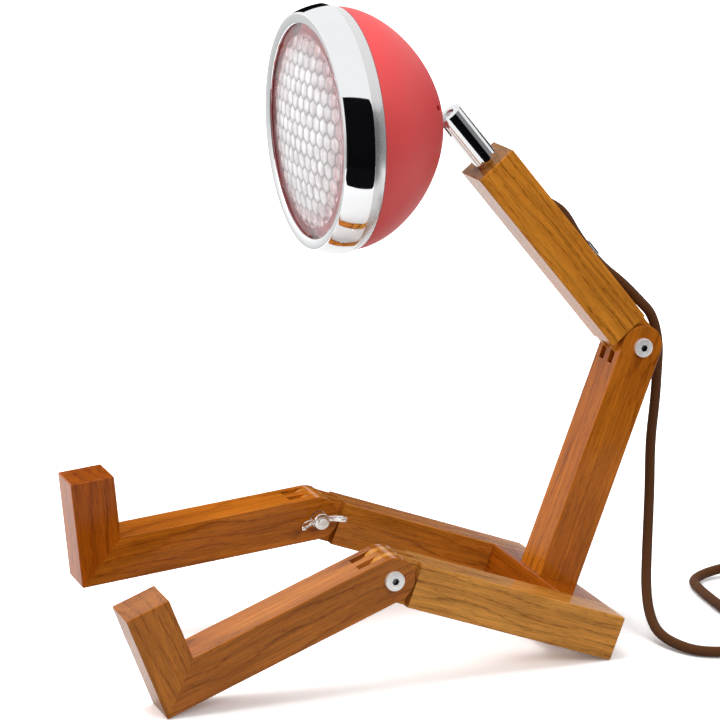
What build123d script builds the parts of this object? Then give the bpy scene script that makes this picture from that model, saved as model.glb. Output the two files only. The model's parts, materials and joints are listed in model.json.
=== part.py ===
from build123d import *
from math import asin, atan2, cos, degrees, hypot, pi, radians, sin, tan
import os

os.makedirs("parts", exist_ok=True)

# ---------------------------------------------------------------- driving dimensions, in mm and degrees
# The lamp faces -Y. Its left side is +X. Slopes are measured up from straight ahead.

# Wooden bars
bar_width = 30.0
bar_depth = 28.0
edge_round = 0.8
overall_width = 162.0
seat_slope = 20.6
thigh_length = 159.0
rail_depth = 34.0
torso_length = 157.5
shin_length = 157.5
foot_height = 68.0
right_shin_slope = -5.2
upper_lean = 60.0
upper_length = 159.5

# Finger joints
finger_layer = 6.0
finger_gap = 0.15
shoulder = 14.75
slot_bottom = 16.0
cut_margin = 4.0

# Bolts, washers and wing nuts
bolt_radius = 2.5
bolt_fit = 0.05
bolt_head_radius = 6.0
bolt_head_height = 3.0
bolt_head_round = 0.6
socket_flats = 4.0
socket_depth = 2.0
bolt_reach = 40.0
washer_radius = 5.5
washer_height = 1.0
hub_radius = 5.25
hub_height = 7.0
wing_thickness = 2.4
wing_tip_round = 1.5
# A wing's outline: out from the bolt, and away from the washer.
wing_outline = [
    (2.8, 0.6),
    (6.6, 1.0),
    (11.4, 3.4),
    (14.9, 7.4),
    (15.5, 11.0),
    (13.4, 12.4),
    (10.6, 10.2),
    (8.2, 6.8),
    (5.6, 5.8),
    (2.8, 5.8),
]

# Dowels and the torso screw
dowel_fit = 0.05
hip_dowel_radius = 4.0
hip_dowel_depth = 15.0
hip_dowel_inset = 10.0
small_dowel_radius = 3.0
small_dowel_depth = 12.0
torso_dowel_x = 9.0
foot_dowel_shift = 6.5
foot_dowel_length = 10.0
end_play = 0.25
screw_radius = 2.5
screw_head_radius = 5.0
screw_sink = 0.5
screw_cone = 2.5
screw_length = 60.0
screw_recess_length = 6.0
screw_recess_width = 1.2
screw_recess_depth = 1.6

# Neck tube and ball joint, measured along the upper bar's axis
tube_radius = 8.1
tube_fit = 0.05
tube_socket = 28.0
tube_show = 40.25
ball_height = 35.0
ball_radius = 5.0
ball_fit = 0.1
top_hole_radius = 3.6
stud_radius = 3.0
slot_fit = 0.2
slot_drop = 12.3
trunnion_radius = 1.5
trunnion_reach = 5.9
ring_groove_height = 6.0
ring_groove_play = 0.2
ring_radius = 0.75
ring_show = 0.02
ball_seat_top = 3.4
spring_drop = 10.0
spring_thickness = 0.6
spring_dish = 0.4
spring_count = 4
spring_slip = 0.1
spring_nut_height = 5.0
lead_radius = 2.4
lead_fit = 0.3

# Head, measured along its own axis from the ball's centre
head_turn = 51.4
collar_radius = 4.5
collar_start = 9.4
dome_apex = 11.2
dome_tip = 10.9
dome_end = 71.9
dome_radius = 73.0
dome_wall = 0.9
dome_power = 1.71
boss_face = 12.9
flange_end = 80.0
flange_radius = 71.8
flange_wall = 0.8
vent_inner = 33.9
vent_outer = 43.6
vent_width = 3.2
vent_roll = 22.0
bezel_play = 0.1
bezel_slip = 0.05
bezel_crease_station = 79.6
bezel_crease_radius = 75.5
bezel_front_station = 96.5
bezel_front_radius = 70.8
bezel_lip_station = 95.4
bezel_lip_radius = 64.6
bezel_wall = 1.3
gasket_slope = 0.55
clip_arc = 10.0
bezel_clip_back = 74.5
bezel_clip_top = 73.9
bezel_clip_bevel = 0.9
lens_clip_foot = 80.5
lens_clip_wall = 0.9
lens_clip_bore = 64.5
lens_clip_shoulder = 71.1
lens_back = 90.6
lens_front = 93.6
lens_radius = 67.8
lens_step_radius = 55.5
lens_step = 0.4
lens_bulge = 4.8
lens_wall = 3.0
stud_end = 19.5
inner_stud_radius = 1.6
inner_lead_radius = 1.4
stud_washer_radius = 6.5
stud_washer_height = 1.0
nut_flats = 10.0
nut_height = 3.0
bracket_wall = 1.2
bracket_half = 4.0
bracket_base_half = 9.0
bracket_arm_x = 16.0
bracket_arm_end = 32.0
holder_screw_radius = 1.4
holder_screw_head = 1.6
holder_screw_station = 28.0
holder_screw_inner = 9.5
holder_boss_radius = 3.0
holder_radius = 13.6
holder_back = 21.0
holder_front = 44.0
holder_base = 3.0
cap_fit = 0.4
cap_radius = 6.9
cap_tip_radius = 2.5
cap_cone = 2.4
cap_lift = 0.6
globe_radius = 22.5
globe_centre = 66.0
globe_foot_inner = 6.0
globe_foot_outer = 8.6
globe_foot_step = 0.3
globe_waist_drop = 16.0

# Cord
cord_radius = 3.25
groove_radius = 3.45
clip_wall = 0.9
clip_length = 10.0
clip_foot = 9.5
clip_station = 67.5
saddle_lift = 14.65
nail_shift = 6.9
nail_radius = 0.8
nail_head_radius = 1.9
nail_head_height = 0.7
nail_length = 12.0
arc_share = 0.45
coil_middle = (84.0, 323.0)
coil_mid_radius = 36.0
coil_turns = 5
coil_half_width = 6.6
coil_height = 19.6
coil_round = 3.2
coil_lift = 1.1
tie_wall = 1.0
tie_width = 8.0
tie_bearing = 200.0
floor_lift = 0.1
switch_length = 58.0
switch_width = 24.0
switch_corner = 5.0
switch_round = 1.8
switch_split = 7.5
switch_height = 15.0
relief_length = 14.0
relief_overlap = 1.0
relief_start = 5.0
relief_tip = 3.9
pivot_height = 13.0
pocket_floor = 10.0
rocker_tilt = 8.0
rocker_half_length = 7.0
rocker_half_width = 4.4
rocker_hub = 2.6
rocker_low = 1.2
rocker_dip = 1.2
rocker_high = 2.4
pocket_fit = 0.4
plug_bearing = -72.0
plug_length = 35.0
plug_width = 26.0
plug_height = 13.4
plug_corner = 4.0
plug_round = 1.5
plug_relief = 20.0
plug_relief_start = 6.0
pin_radius = 2.0
pin_root_radius = 1.5
pin_tip_round = 0.8
pin_depth = 6.0
pin_spacing = 18.6
pin_length = 19.0


# ---------------------------------------------------------------- where the pieces sit

def at(base, slope, forward, lift=0.0):
    """A (y, z) point: forward along a slope that starts at base, and lift square to it."""
    turn = radians(slope)
    return (
        base[0] - forward * cos(turn) + lift * sin(turn),
        base[1] + forward * sin(turn) + lift * cos(turn),
    )


half_depth = bar_depth / 2
half_width = bar_width / 2
thigh_x = overall_width / 2 - half_width
rail_length = overall_width - 2 * bar_width
knuckle = half_depth

# The left shin slopes so that its heel and the seat's back edge stand on one floor.
tilt = radians(seat_slope)
knee_rise = (thigh_length - edge_round) * sin(tilt) + (half_depth - edge_round) * cos(tilt)
heel_reach = shin_length - edge_round
heel_lift = half_depth - edge_round
left_shin_slope = degrees(atan2(heel_lift, heel_reach) - asin(knee_rise / hypot(heel_reach, heel_lift)))

# The origin is on the floor, below the middle of the lamp without its cord.
torso_station = rail_depth / 2
torso_slope = 90 + seat_slope
upper_slope = torso_slope - upper_lean
head_slope = upper_slope - head_turn
loose_knee = at((0, 0), seat_slope, thigh_length, half_depth)
loose_toe = at(loose_knee, left_shin_slope, shin_length, foot_height - half_depth)
loose_back = at(at((0, 0), seat_slope, torso_station, bar_depth), torso_slope, torso_length)
shin_turn = radians(-left_shin_slope)
toe_front = loose_toe[0] + edge_round * (cos(shin_turn) + sin(shin_turn) - 1)
seat_y = -(toe_front + loose_back[0] + knuckle) / 2
seat_z = -edge_round * (cos(tilt) + sin(tilt) - 1)

seat = (seat_y, seat_z)
knee = at(seat, seat_slope, thigh_length, half_depth)
torso_foot = at(seat, seat_slope, torso_station, bar_depth)
back_axis = at(torso_foot, torso_slope, torso_length)
ball = at(back_axis, upper_slope, upper_length + ball_height)
shin_slopes = {"left": left_shin_slope, "right": right_shin_slope}
sides = {"left": 1, "right": -1}


def side_plane(base, slope, x=0.0):
    """A plane square to X: its x runs forward along the slope, its y lifts square to it."""
    turn = radians(slope)
    return Plane(origin=(x, *base), x_dir=(0, -cos(turn), sin(turn)), z_dir=(-1, 0, 0))


def save(builder, name):
    """Label a finished piece and write its file."""
    builder.part.label = name
    export_step(builder.part, f"parts/{name}.step")


def polygon(plane, points, amount, mode=Mode.ADD):
    """Extrude a closed outline to both sides of its plane."""
    with BuildSketch(plane) as face:
        with BuildLine():
            Polyline(*points, close=True)
        make_face()
    extrude(face.sketch, amount=amount, both=True, mode=mode)


def disc(centre, x_from, x_to, radius, mode=Mode.ADD):
    """A cylinder along X between two sides of the lamp."""
    with BuildSketch(Plane(origin=(x_from, *centre), z_dir=(1, 0, 0))) as face:
        Circle(radius)
    extrude(face.sketch, amount=x_to - x_from, mode=mode)


def rod(base, slope, start, end, radius, mode=Mode.ADD, x=0.0, lift=0.0):
    """A cylinder along a slope, from start to end."""
    turn = radians(slope)
    foot = at(base, slope, start, lift)
    with BuildSketch(Plane(origin=(x, *foot), z_dir=(0, -cos(turn), sin(turn)))) as face:
        Circle(radius)
    extrude(face.sketch, amount=end - start, mode=mode)


def spindle(base, slope):
    turn = radians(slope)
    return Axis((0, *base), (0, -cos(turn), sin(turn)))


def lathe(base, slope, points, mode=Mode.ADD, arc=360.0, roll=0.0):
    """Turn an outline of (station, radius) points about a slope, starting at a roll from its lift."""
    turn = radians(slope)
    centre = spindle(base, slope)
    spoke = Vector(0, sin(turn), cos(turn)) * cos(radians(roll)) + Vector(sin(radians(roll)), 0, 0)
    plane = Plane(origin=(0, *base), x_dir=centre.direction, z_dir=centre.direction.cross(spoke))
    with BuildSketch(plane) as face:
        with BuildLine():
            Polyline(*points, close=True)
        make_face()
    revolve(face.sketch, axis=centre, revolution_arc=arc, mode=mode)


def soften(builder, base, slope, corners, butt=None):
    """Round a bar's long arrises and the cross arrises at the given corners; a butted end stays sharp."""
    frame = side_plane(base, slope)
    chosen = []
    for edge in builder.edges():
        ends = [frame.to_local_coords(edge.position_at(share)) for share in (0, 1)]
        if abs(edge.tangent_at(0.5).X) > 0.99:
            wanted = any(hypot(ends[0].X - a, ends[0].Y - b) < 0.01 for a, b in corners)
        else:
            wanted = butt is None or any(abs(end.X - butt) > 0.01 for end in ends)
        if wanted:
            chosen.append(edge)
    fillet(chosen, edge_round)


# ---------------------------------------------------------------- finger joints

tongue_out = 1.5 * finger_layer - finger_gap
tongue_in = 0.5 * finger_layer + finger_gap
clear_reach = knuckle + cut_margin


def cut_tongues(axis, slope, x):
    """Leave two tongues at a bar's round end, whose axis is given; the bar lies behind it."""
    outline = [
        (-shoulder, -clear_reach),
        (clear_reach, -clear_reach),
        (clear_reach, clear_reach),
        (-shoulder, clear_reach),
    ]
    waste_half = (half_width + 1 - tongue_out) / 2
    for sign in (-1, 1):
        plane = side_plane(axis, slope, x + sign * (tongue_out + waste_half))
        polygon(plane, outline, waste_half, Mode.SUBTRACT)
    polygon(side_plane(axis, slope, x), outline, tongue_in, Mode.SUBTRACT)
    disc(axis, x - half_width, x + half_width, bolt_radius + bolt_fit, Mode.SUBTRACT)


def cut_ears(axis, slope, x):
    """Leave three ears at a bar's round end, whose axis is given; the bar lies behind it."""
    outline = [
        (-slot_bottom, -clear_reach),
        (clear_reach, -clear_reach),
        (clear_reach, clear_reach),
        (-slot_bottom, clear_reach),
    ]
    for sign in (-1, 1):
        plane = side_plane(axis, slope, x + sign * finger_layer)
        polygon(plane, outline, finger_layer / 2, Mode.SUBTRACT)
    disc(axis, x - half_width, x + half_width, bolt_radius + bolt_fit, Mode.SUBTRACT)


# ---------------------------------------------------------------- seat

thigh_outline = [
    (0, -half_depth),
    (thigh_length, -half_depth),
    (thigh_length, half_depth),
    (0, half_depth),
]
seat_middle = at(seat, seat_slope, 0, half_depth)
hip_stations = (hip_dowel_inset, rail_depth - hip_dowel_inset)

for side, sign in sides.items():
    with BuildPart() as thigh:
        polygon(side_plane(seat_middle, seat_slope, sign * thigh_x), thigh_outline, half_width)
        disc(knee, sign * thigh_x - half_width, sign * thigh_x + half_width, knuckle)
        soften(thigh, seat_middle, seat_slope, [(0, -half_depth), (0, half_depth)])
        cut_tongues(knee, seat_slope, sign * thigh_x)
        inner_x = sign * rail_length / 2
        for station in hip_stations:
            hole = at(seat_middle, seat_slope, station)
            disc(hole, inner_x, inner_x + sign * hip_dowel_depth, hip_dowel_radius + dowel_fit, Mode.SUBTRACT)
    save(thigh, f"thigh_{side}")

screw_outline = [
    (screw_sink, 0),
    (screw_sink, screw_head_radius),
    (screw_sink + screw_cone, screw_radius),
    (screw_length, screw_radius),
    (screw_length, 0),
]
screw_hole = [
    (-1, 0),
    (-1, screw_head_radius + dowel_fit),
    (screw_sink, screw_head_radius + dowel_fit),
    (screw_sink + screw_cone, screw_radius + dowel_fit),
    (screw_length + end_play, screw_radius + dowel_fit),
    (screw_length + end_play, 0),
]
screw_base = at(seat, seat_slope, torso_station)

with BuildPart() as hip_rail:
    rail_outline = [(0, -half_depth), (rail_depth, -half_depth), (rail_depth, half_depth), (0, half_depth)]
    polygon(side_plane(seat_middle, seat_slope), rail_outline, rail_length / 2)
    fillet(hip_rail.edges().filter_by(Axis.X), edge_round)
    for sign in sides.values():
        inner_x = sign * rail_length / 2
        for station in hip_stations:
            hole = at(seat_middle, seat_slope, station)
            disc(hole, inner_x, inner_x - sign * hip_dowel_depth, hip_dowel_radius + dowel_fit, Mode.SUBTRACT)
        rod(
            torso_foot,
            torso_slope,
            -small_dowel_depth,
            1,
            small_dowel_radius + dowel_fit,
            Mode.SUBTRACT,
            x=sign * torso_dowel_x,
        )
    lathe(screw_base, torso_slope, screw_hole, Mode.SUBTRACT)
save(hip_rail, "hip_rail")

with BuildPart() as hip_dowels:
    for sign in sides.values():
        inner_x = sign * rail_length / 2
        for station in hip_stations:
            hole = at(seat_middle, seat_slope, station)
            reach = hip_dowel_depth - end_play
            disc(hole, inner_x - reach, inner_x + reach, hip_dowel_radius)
save(hip_dowels, "hip_dowels")

# ---------------------------------------------------------------- torso

torso_outline = [(0, -half_depth), (torso_length, -half_depth), (torso_length, half_depth), (0, half_depth)]

with BuildPart() as torso_bar:
    polygon(side_plane(torso_foot, torso_slope), torso_outline, half_width)
    disc(back_axis, -half_width, half_width, knuckle)
    soften(torso_bar, torso_foot, torso_slope, [], butt=0)
    cut_ears(back_axis, torso_slope, 0)
    for sign in sides.values():
        rod(
            torso_foot,
            torso_slope,
            -1,
            small_dowel_depth,
            small_dowel_radius + dowel_fit,
            Mode.SUBTRACT,
            x=sign * torso_dowel_x,
        )
    lathe(screw_base, torso_slope, screw_hole, Mode.SUBTRACT)
save(torso_bar, "torso_bar")

with BuildPart() as torso_screw:
    lathe(screw_base, torso_slope, screw_outline)
    driver = at(screw_base, torso_slope, screw_sink)
    turn = radians(torso_slope)
    with BuildSketch(Plane(origin=(0, *driver), z_dir=(0, -cos(turn), sin(turn)))) as recess:
        Rectangle(screw_recess_length, screw_recess_width)
        Rectangle(screw_recess_width, screw_recess_length)
    extrude(recess.sketch, amount=screw_recess_depth, mode=Mode.SUBTRACT)
save(torso_screw, "torso_screw")

with BuildPart() as torso_dowels:
    for sign in sides.values():
        reach = small_dowel_depth - end_play
        rod(torso_foot, torso_slope, -reach, reach, small_dowel_radius, x=sign * torso_dowel_x)
save(torso_dowels, "torso_dowels")

# ---------------------------------------------------------------- legs
# A leg is one L of shin and foot, parted by the mitre at the heel.

leg_outline = [
    (0, -half_depth),
    (shin_length, -half_depth),
    (shin_length, foot_height - half_depth),
    (shin_length - bar_depth, foot_height - half_depth),
    (shin_length - bar_depth, half_depth),
    (0, half_depth),
]
# Past the heel and past the inner corner, along the mitre, then round each half.
below = -bar_depth
above = half_depth + foot_height
mitre_low = (shin_length + half_depth, below)
mitre_high = (shin_length - half_depth - above, above)
foot_waste = [mitre_low, (shin_length + half_depth, above), mitre_high]
shin_waste = [mitre_low, (-bar_depth, below), (-bar_depth, above), mitre_high]
mitre_middle = (shin_length - half_depth, 0)


def leg_blank(builder, slope, x):
    polygon(side_plane(knee, slope, x), leg_outline, half_width)
    disc(knee, x - half_width, x + half_width, knuckle)
    soften(builder, knee, slope, [leg_outline[1], leg_outline[2], leg_outline[3]])


def foot_dowels(slope, x, reach, radius, mode):
    """Two dowels square to the mitre."""
    middle = at(knee, slope, *mitre_middle)
    for sign in sides.values():
        rod(middle, slope + 45, -reach, reach, radius, mode, x=x + sign * foot_dowel_shift)


for side, sign in sides.items():
    slope = shin_slopes[side]
    x = sign * thigh_x
    with BuildPart() as shin:
        leg_blank(shin, slope, x)
        polygon(side_plane(knee, slope, x), foot_waste, half_width + 1, Mode.SUBTRACT)
        cut_ears(knee, slope + 180, x)
        foot_dowels(slope, x, foot_dowel_length + end_play, small_dowel_radius + dowel_fit, Mode.SUBTRACT)
    save(shin, f"shin_{side}")
    with BuildPart() as foot:
        leg_blank(foot, slope, x)
        polygon(side_plane(knee, slope, x), shin_waste, half_width + 1, Mode.SUBTRACT)
        foot_dowels(slope, x, foot_dowel_length + end_play, small_dowel_radius + dowel_fit, Mode.SUBTRACT)
    save(foot, f"foot_{side}")
    with BuildPart() as pegs:
        foot_dowels(slope, x, foot_dowel_length, small_dowel_radius, Mode.ADD)
    save(pegs, f"foot_dowels_{side}")

# ---------------------------------------------------------------- joint hardware


def bolt(builder, centre, x_face, outward):
    """A low round head with a hexagon socket, on the outer face, and a shank through the joint."""
    top = x_face + outward * bolt_head_height
    disc(centre, x_face, top, bolt_head_radius)
    rims = builder.edges().filter_by(GeomType.CIRCLE)
    fillet([rim for rim in rims if abs(rim.center().X - top) < 0.01], bolt_head_round)
    with BuildSketch(Plane(origin=(top, *centre), z_dir=(-outward, 0, 0))) as socket:
        RegularPolygon(socket_flats / 2, 6, major_radius=False)
    extrude(socket.sketch, amount=socket_depth, mode=Mode.SUBTRACT)
    disc(centre, x_face, x_face - outward * bolt_reach, bolt_radius)


def washer(centre, x_face, outward):
    disc(centre, x_face, x_face + outward * washer_height, washer_radius)
    disc(centre, x_face, x_face + outward * washer_height, bolt_radius + bolt_fit, Mode.SUBTRACT)


def wing_nut(centre, x_face, outward, slope):
    """A hub against the washer and two wings that flare away from it."""
    disc(centre, x_face, x_face + outward * hub_height, hub_radius)
    turn = radians(slope)
    across = Vector(0, -cos(turn), sin(turn))
    for sign in (-1, 1):
        spread = across * sign
        normal = spread.cross(Vector(outward, 0, 0))
        with BuildSketch(Plane(origin=(x_face, *centre), x_dir=spread, z_dir=normal)) as wing:
            with BuildLine():
                Polyline(*wing_outline, close=True)
            make_face()
            tips = wing.vertices().sort_by(Axis(origin=(x_face, *centre), direction=spread))[-3:]
            fillet(tips, wing_tip_round)
        extrude(wing.sketch, amount=wing_thickness / 2, both=True)
    disc(centre, x_face - outward, x_face + outward * 2 * hub_height, bolt_radius + bolt_fit, Mode.SUBTRACT)


for side, sign in sides.items():
    outer_face = sign * overall_width / 2
    inner_face = sign * rail_length / 2
    with BuildPart() as knee_bolt:
        bolt(knee_bolt, knee, outer_face, sign)
    save(knee_bolt, f"knee_bolt_{side}")
    with BuildPart() as knee_washer:
        washer(knee, inner_face, -sign)
    save(knee_washer, f"knee_washer_{side}")
    with BuildPart() as knee_wing_nut:
        wing_nut(knee, inner_face - sign * washer_height, -sign, shin_slopes[side])
    save(knee_wing_nut, f"knee_wing_nut_{side}")

with BuildPart() as back_bolt:
    bolt(back_bolt, back_axis, half_width, 1)
save(back_bolt, "back_bolt")

with BuildPart() as back_washer:
    washer(back_axis, -half_width, -1)
save(back_washer, "back_washer")

with BuildPart() as back_wing_nut:
    wing_nut(back_axis, -half_width - washer_height, -1, torso_slope)
save(back_wing_nut, "back_wing_nut")

# ---------------------------------------------------------------- cord route
# From the bore in the upper bar, down its back, behind the back joint and down to the floor, where it
# turns back behind the lamp to the in-line switch.

upper_route = [
    (0, 93.6, 281.4),
    (0, 103.4, 277.1),
    (0, 114.1, 273.6),
    (0, 124.3, 266.4),
    (0, 133.3, 250.5),
    (0, 149.1, 231.2),
    (0, 164.4, 219.1),
    (0, 178.4, 204.8),
    (0, 186.6, 196.0),
    (0, 191.4, 177.9),
    (0, 190.8, 159.3),
    (0, 189.9, 139.6),
    (0, 187.8, 120.0),
    (0.3, 187.1, 103.8),
    (2.5, 186.3, 84.0),
    (9.0, 182.7, 63.0),
    (20.0, 176.8, 43.5),
    (33.5, 170.0, 27.5),
    (48.5, 165.2, 14.5),
    (64.5, 164.4, 5.6),
]
floor_route = [
    (88.6, 172.1, 3.4),
    (99.6, 185.0, 3.4),
    (102.1, 201.7, 3.4),
    (95.3, 217.3, 3.4),
    (81.4, 226.8, 3.4),
    (-22.0, 231.3, 3.4),
    (-35.6, 241.0, 3.4),
    (-41.3, 256.4, 4.6),
    (-38.0, 272.6, 7.5),
    (-26.0, 284.6, 7.5),
]
main_route = upper_route + floor_route
link_route = [
    (34.8, 345.4, 7.5),
    (41.9, 352.5, 7.5),
    (53.5, 359.4, 9.2),
    (66.6, 362.6, 10.6),
    (79.0, 362.8, 10.9),
]
tail_route = [
    (103.7, 357.0, 4.4),
    (114.6, 351.8, 4.2),
    (125.6, 342.6, 5.0),
    (132.8, 330.5, 6.8),
    (136.2, 320.0, 6.8),
]


def corner_radii(points):
    """A radius for each inner point, from the shorter run beside it and the turn there."""
    radii = []
    for before, here, after in zip(points, points[1:], points[2:]):
        run_in = Vector(here) - Vector(before)
        run_out = Vector(after) - Vector(here)
        half_turn = radians(run_in.get_angle(run_out)) / 2
        radii.append(arc_share * min(run_in.length, run_out.length) / tan(half_turn))
    return radii


def tube(points, radii, radius, mode=Mode.ADD):
    """A round tube along straight runs and tangent arcs; returns its length."""
    with BuildLine() as path:
        if radii:
            FilletPolyline(*points, radius=radii)
        else:
            Line(*points)
    wire = path.wires()[0]
    with BuildSketch(Plane(origin=wire @ 0, z_dir=wire % 0)) as section:
        Circle(radius)
    sweep(section.sketch, path=wire, mode=mode)
    return wire.length


def between(points, index, share):
    """A point part of the way along one run."""
    return tuple(Vector(points[index]) + (Vector(points[index + 1]) - Vector(points[index])) * share)


def report_tube(name, builder, length, radii):
    """Print a tube's radii, and its volume against section times length."""
    wanted = pi * cord_radius**2 * length
    print(name, "length", round(length, 1), "radii", [round(radius, 1) for radius in radii])
    print(name, "volume / (section x length)", round(builder.part.volume / wanted, 4))


main_radii = corner_radii(main_route)
print("smallest corner radius, cord diameters", round(min(main_radii) / (2 * cord_radius), 2))
bend_start = between(main_route, 6, 0.6)
bend_end = between(main_route, 10, 0.49)

# ---------------------------------------------------------------- upper bar

bar_end = at(back_axis, upper_slope, upper_length)
upper_outline = [(0, -half_depth), (upper_length, -half_depth), (upper_length, half_depth), (0, half_depth)]
nail_base = at(back_axis, upper_slope, clip_station, half_depth)

with BuildPart() as upper_bar:
    polygon(side_plane(back_axis, upper_slope), upper_outline, half_width)
    disc(back_axis, -half_width, half_width, knuckle)
    soften(upper_bar, back_axis, upper_slope, [upper_outline[1], upper_outline[2]])
    cut_tongues(back_axis, upper_slope + 180, 0)
    rod(bar_end, upper_slope, -tube_socket, 1, tube_radius + tube_fit, Mode.SUBTRACT)
    tube(main_route[:8], main_radii[:6], groove_radius, Mode.SUBTRACT)
    inlet = Vector(main_route[0]) - Vector(main_route[1])
    mouth = tuple(Vector(main_route[0]) + inlet.normalized() * cut_margin)
    tube([main_route[0], mouth], [], groove_radius, Mode.SUBTRACT)
    for sign in sides.values():
        nail_hole = nail_radius + dowel_fit
        rod(nail_base, upper_slope + 90, -nail_length, 1, nail_hole, Mode.SUBTRACT, x=sign * nail_shift)
save(upper_bar, "upper_bar")

clip_start = at(back_axis, upper_slope, clip_station - clip_length / 2)

with BuildPart() as cord_clip:
    # Across the bar in x, towards its back in y.
    section_plane = Plane(
        origin=(0, *clip_start),
        x_dir=(1, 0, 0),
        z_dir=spindle(back_axis, upper_slope).direction,
    )
    with BuildSketch(section_plane):
        with Locations((0, half_depth + clip_wall / 2)):
            Rectangle(2 * clip_foot, clip_wall)
        with Locations((0, saddle_lift)):
            Circle(groove_radius + clip_wall)
            Circle(groove_radius, mode=Mode.SUBTRACT)
        Rectangle(4 * clip_foot, 2 * half_depth, mode=Mode.SUBTRACT)
    extrude(amount=clip_length)
    for sign in sides.values():
        rod(nail_base, upper_slope + 90, -1, 2 * clip_wall, nail_hole, Mode.SUBTRACT, x=sign * nail_shift)
save(cord_clip, "cord_clip")

with BuildPart() as cord_clip_nails:
    for sign in sides.values():
        nail_top = clip_wall + nail_head_height
        rod(nail_base, upper_slope + 90, end_play - nail_length, clip_wall, nail_radius, x=sign * nail_shift)
        rod(nail_base, upper_slope + 90, clip_wall, nail_top, nail_head_radius, x=sign * nail_shift)
save(cord_clip_nails, "cord_clip_nails")

# ---------------------------------------------------------------- neck

tube_foot = upper_length - tube_socket
tube_top = upper_length + tube_show
ball_station = upper_length + ball_height
cavity = ball_radius + ball_fit
groove_low = tube_foot + ring_groove_height
groove_high = groove_low + 2 * ring_radius + ring_groove_play
groove_floor = tube_radius - 2 * (ring_radius - ring_show)

with BuildPart() as neck_tube:
    lathe(
        back_axis,
        upper_slope,
        [
            (tube_foot, cavity),
            (tube_foot, tube_radius),
            (groove_low, tube_radius),
            (groove_low, groove_floor),
            (groove_high, groove_floor),
            (groove_high, tube_radius),
            (tube_top, tube_radius),
            (tube_top, top_hole_radius),
            (ball_station, top_hole_radius),
            (ball_station, cavity),
        ],
    )
    with Locations((0, *ball)):
        Sphere(cavity, mode=Mode.SUBTRACT)
    slot_half = stud_radius + slot_fit
    slot_end = tube_top - slot_drop + slot_half
    slot_base = at(back_axis, upper_slope, slot_end)
    # The slot faces the head, which is square to the tube and away from the bar's back.
    rod(slot_base, upper_slope - 90, 0, tube_radius + 1, slot_half, Mode.SUBTRACT)
    polygon(
        side_plane(back_axis, upper_slope),
        [(slot_end, -tube_radius - 1), (tube_top + 1, -tube_radius - 1), (tube_top + 1, 0), (slot_end, 0)],
        slot_half,
        Mode.SUBTRACT,
    )
    # The ball's trunnions slide up a groove inside the tube, to its round end.
    groove_half = trunnion_radius + bolt_fit
    groove_reach = trunnion_reach + lead_fit
    disc(ball, -groove_reach, groove_reach, groove_half, Mode.SUBTRACT)
    polygon(
        side_plane(back_axis, upper_slope),
        [
            (tube_foot - 1, -groove_half),
            (ball_station, -groove_half),
            (ball_station, groove_half),
            (tube_foot - 1, groove_half),
        ],
        groove_reach,
        Mode.SUBTRACT,
    )
save(neck_tube, "neck_tube")

with BuildPart() as neck_o_ring:
    ring_middle = (groove_low + groove_high) / 2
    with BuildSketch(side_plane(back_axis, upper_slope)):
        with Locations((ring_middle, groove_floor + ring_radius)):
            Circle(ring_radius)
    revolve(axis=spindle(back_axis, upper_slope))
save(neck_o_ring, "neck_o_ring")

seat_hole = lead_radius + lead_fit
spring_top = ball_station - spring_drop
spring_pitch = spring_thickness + spring_dish
springs_foot = spring_top - spring_count * spring_pitch
spring_nut_foot = springs_foot - spring_nut_height
seat_top = ball_station - ball_seat_top

with BuildPart() as ball_seat:
    lathe(
        back_axis,
        upper_slope,
        [
            (spring_top, seat_hole),
            (spring_top, cavity - spring_slip),
            (seat_top, cavity - spring_slip),
            (seat_top, seat_hole),
        ],
    )
    with Locations((0, *ball)):
        Sphere(ball_radius + bolt_fit, mode=Mode.SUBTRACT)
save(ball_seat, "ball_seat")

with BuildPart() as disc_springs:
    for index in range(spring_count):
        low = springs_foot + index * spring_pitch
        inner_up = spring_dish * (index % 2)
        outer_up = spring_dish - inner_up
        lathe(
            back_axis,
            upper_slope,
            [
                (low + inner_up, seat_hole),
                (low + inner_up + spring_thickness, seat_hole),
                (low + outer_up + spring_thickness, cavity - 2 * spring_slip),
                (low + outer_up, cavity - 2 * spring_slip),
            ],
        )
save(disc_springs, "disc_springs")

with BuildPart() as spring_nut:
    lathe(
        back_axis,
        upper_slope,
        [
            (spring_nut_foot, seat_hole),
            (spring_nut_foot, cavity - ring_show),
            (springs_foot, cavity - ring_show),
            (springs_foot, seat_hole),
        ],
    )
save(spring_nut, "spring_nut")

with BuildPart() as neck_lead:
    lead_end = ball_station - ball_radius - lead_fit
    rod(back_axis, upper_slope, tube_foot + lead_fit, lead_end, lead_radius)
save(neck_lead, "neck_lead")

# ---------------------------------------------------------------- head


def shell_curve(radius, depth, first_radius, last_share):
    """Points of a dome's outline, from near its tip to near its rim."""
    points = []
    count = 15
    start = asin((first_radius / radius) ** (dome_power / 2))
    for index in range(count + 1):
        angle = start + (last_share * pi / 2 - start) * index / count
        station = dome_end - depth * cos(angle) ** (2 / dome_power)
        points.append((station, radius * sin(angle) ** (2 / dome_power)))
    return points


outer_depth = dome_end - dome_tip
outer_first = dome_radius * (1 - ((dome_end - dome_apex) / outer_depth) ** dome_power) ** (1 / dome_power)
inner_radius = dome_radius - dome_wall
inner_depth = outer_depth - dome_wall
inner_first = inner_radius * (1 - ((dome_end - boss_face) / inner_depth) ** dome_power) ** (1 / dome_power)
outer_curve = shell_curve(dome_radius, outer_depth, outer_first, 1.0)
inner_curve = shell_curve(inner_radius, inner_depth, inner_first, 0.985)
stud_hole = stud_radius + dowel_fit
head_axis = spindle(ball, head_slope)

# Across the lamp in x, up in y, out of the head in z.
head_frame = Plane(origin=(0, *ball), x_dir=(1, 0, 0), z_dir=head_axis.direction)

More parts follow.
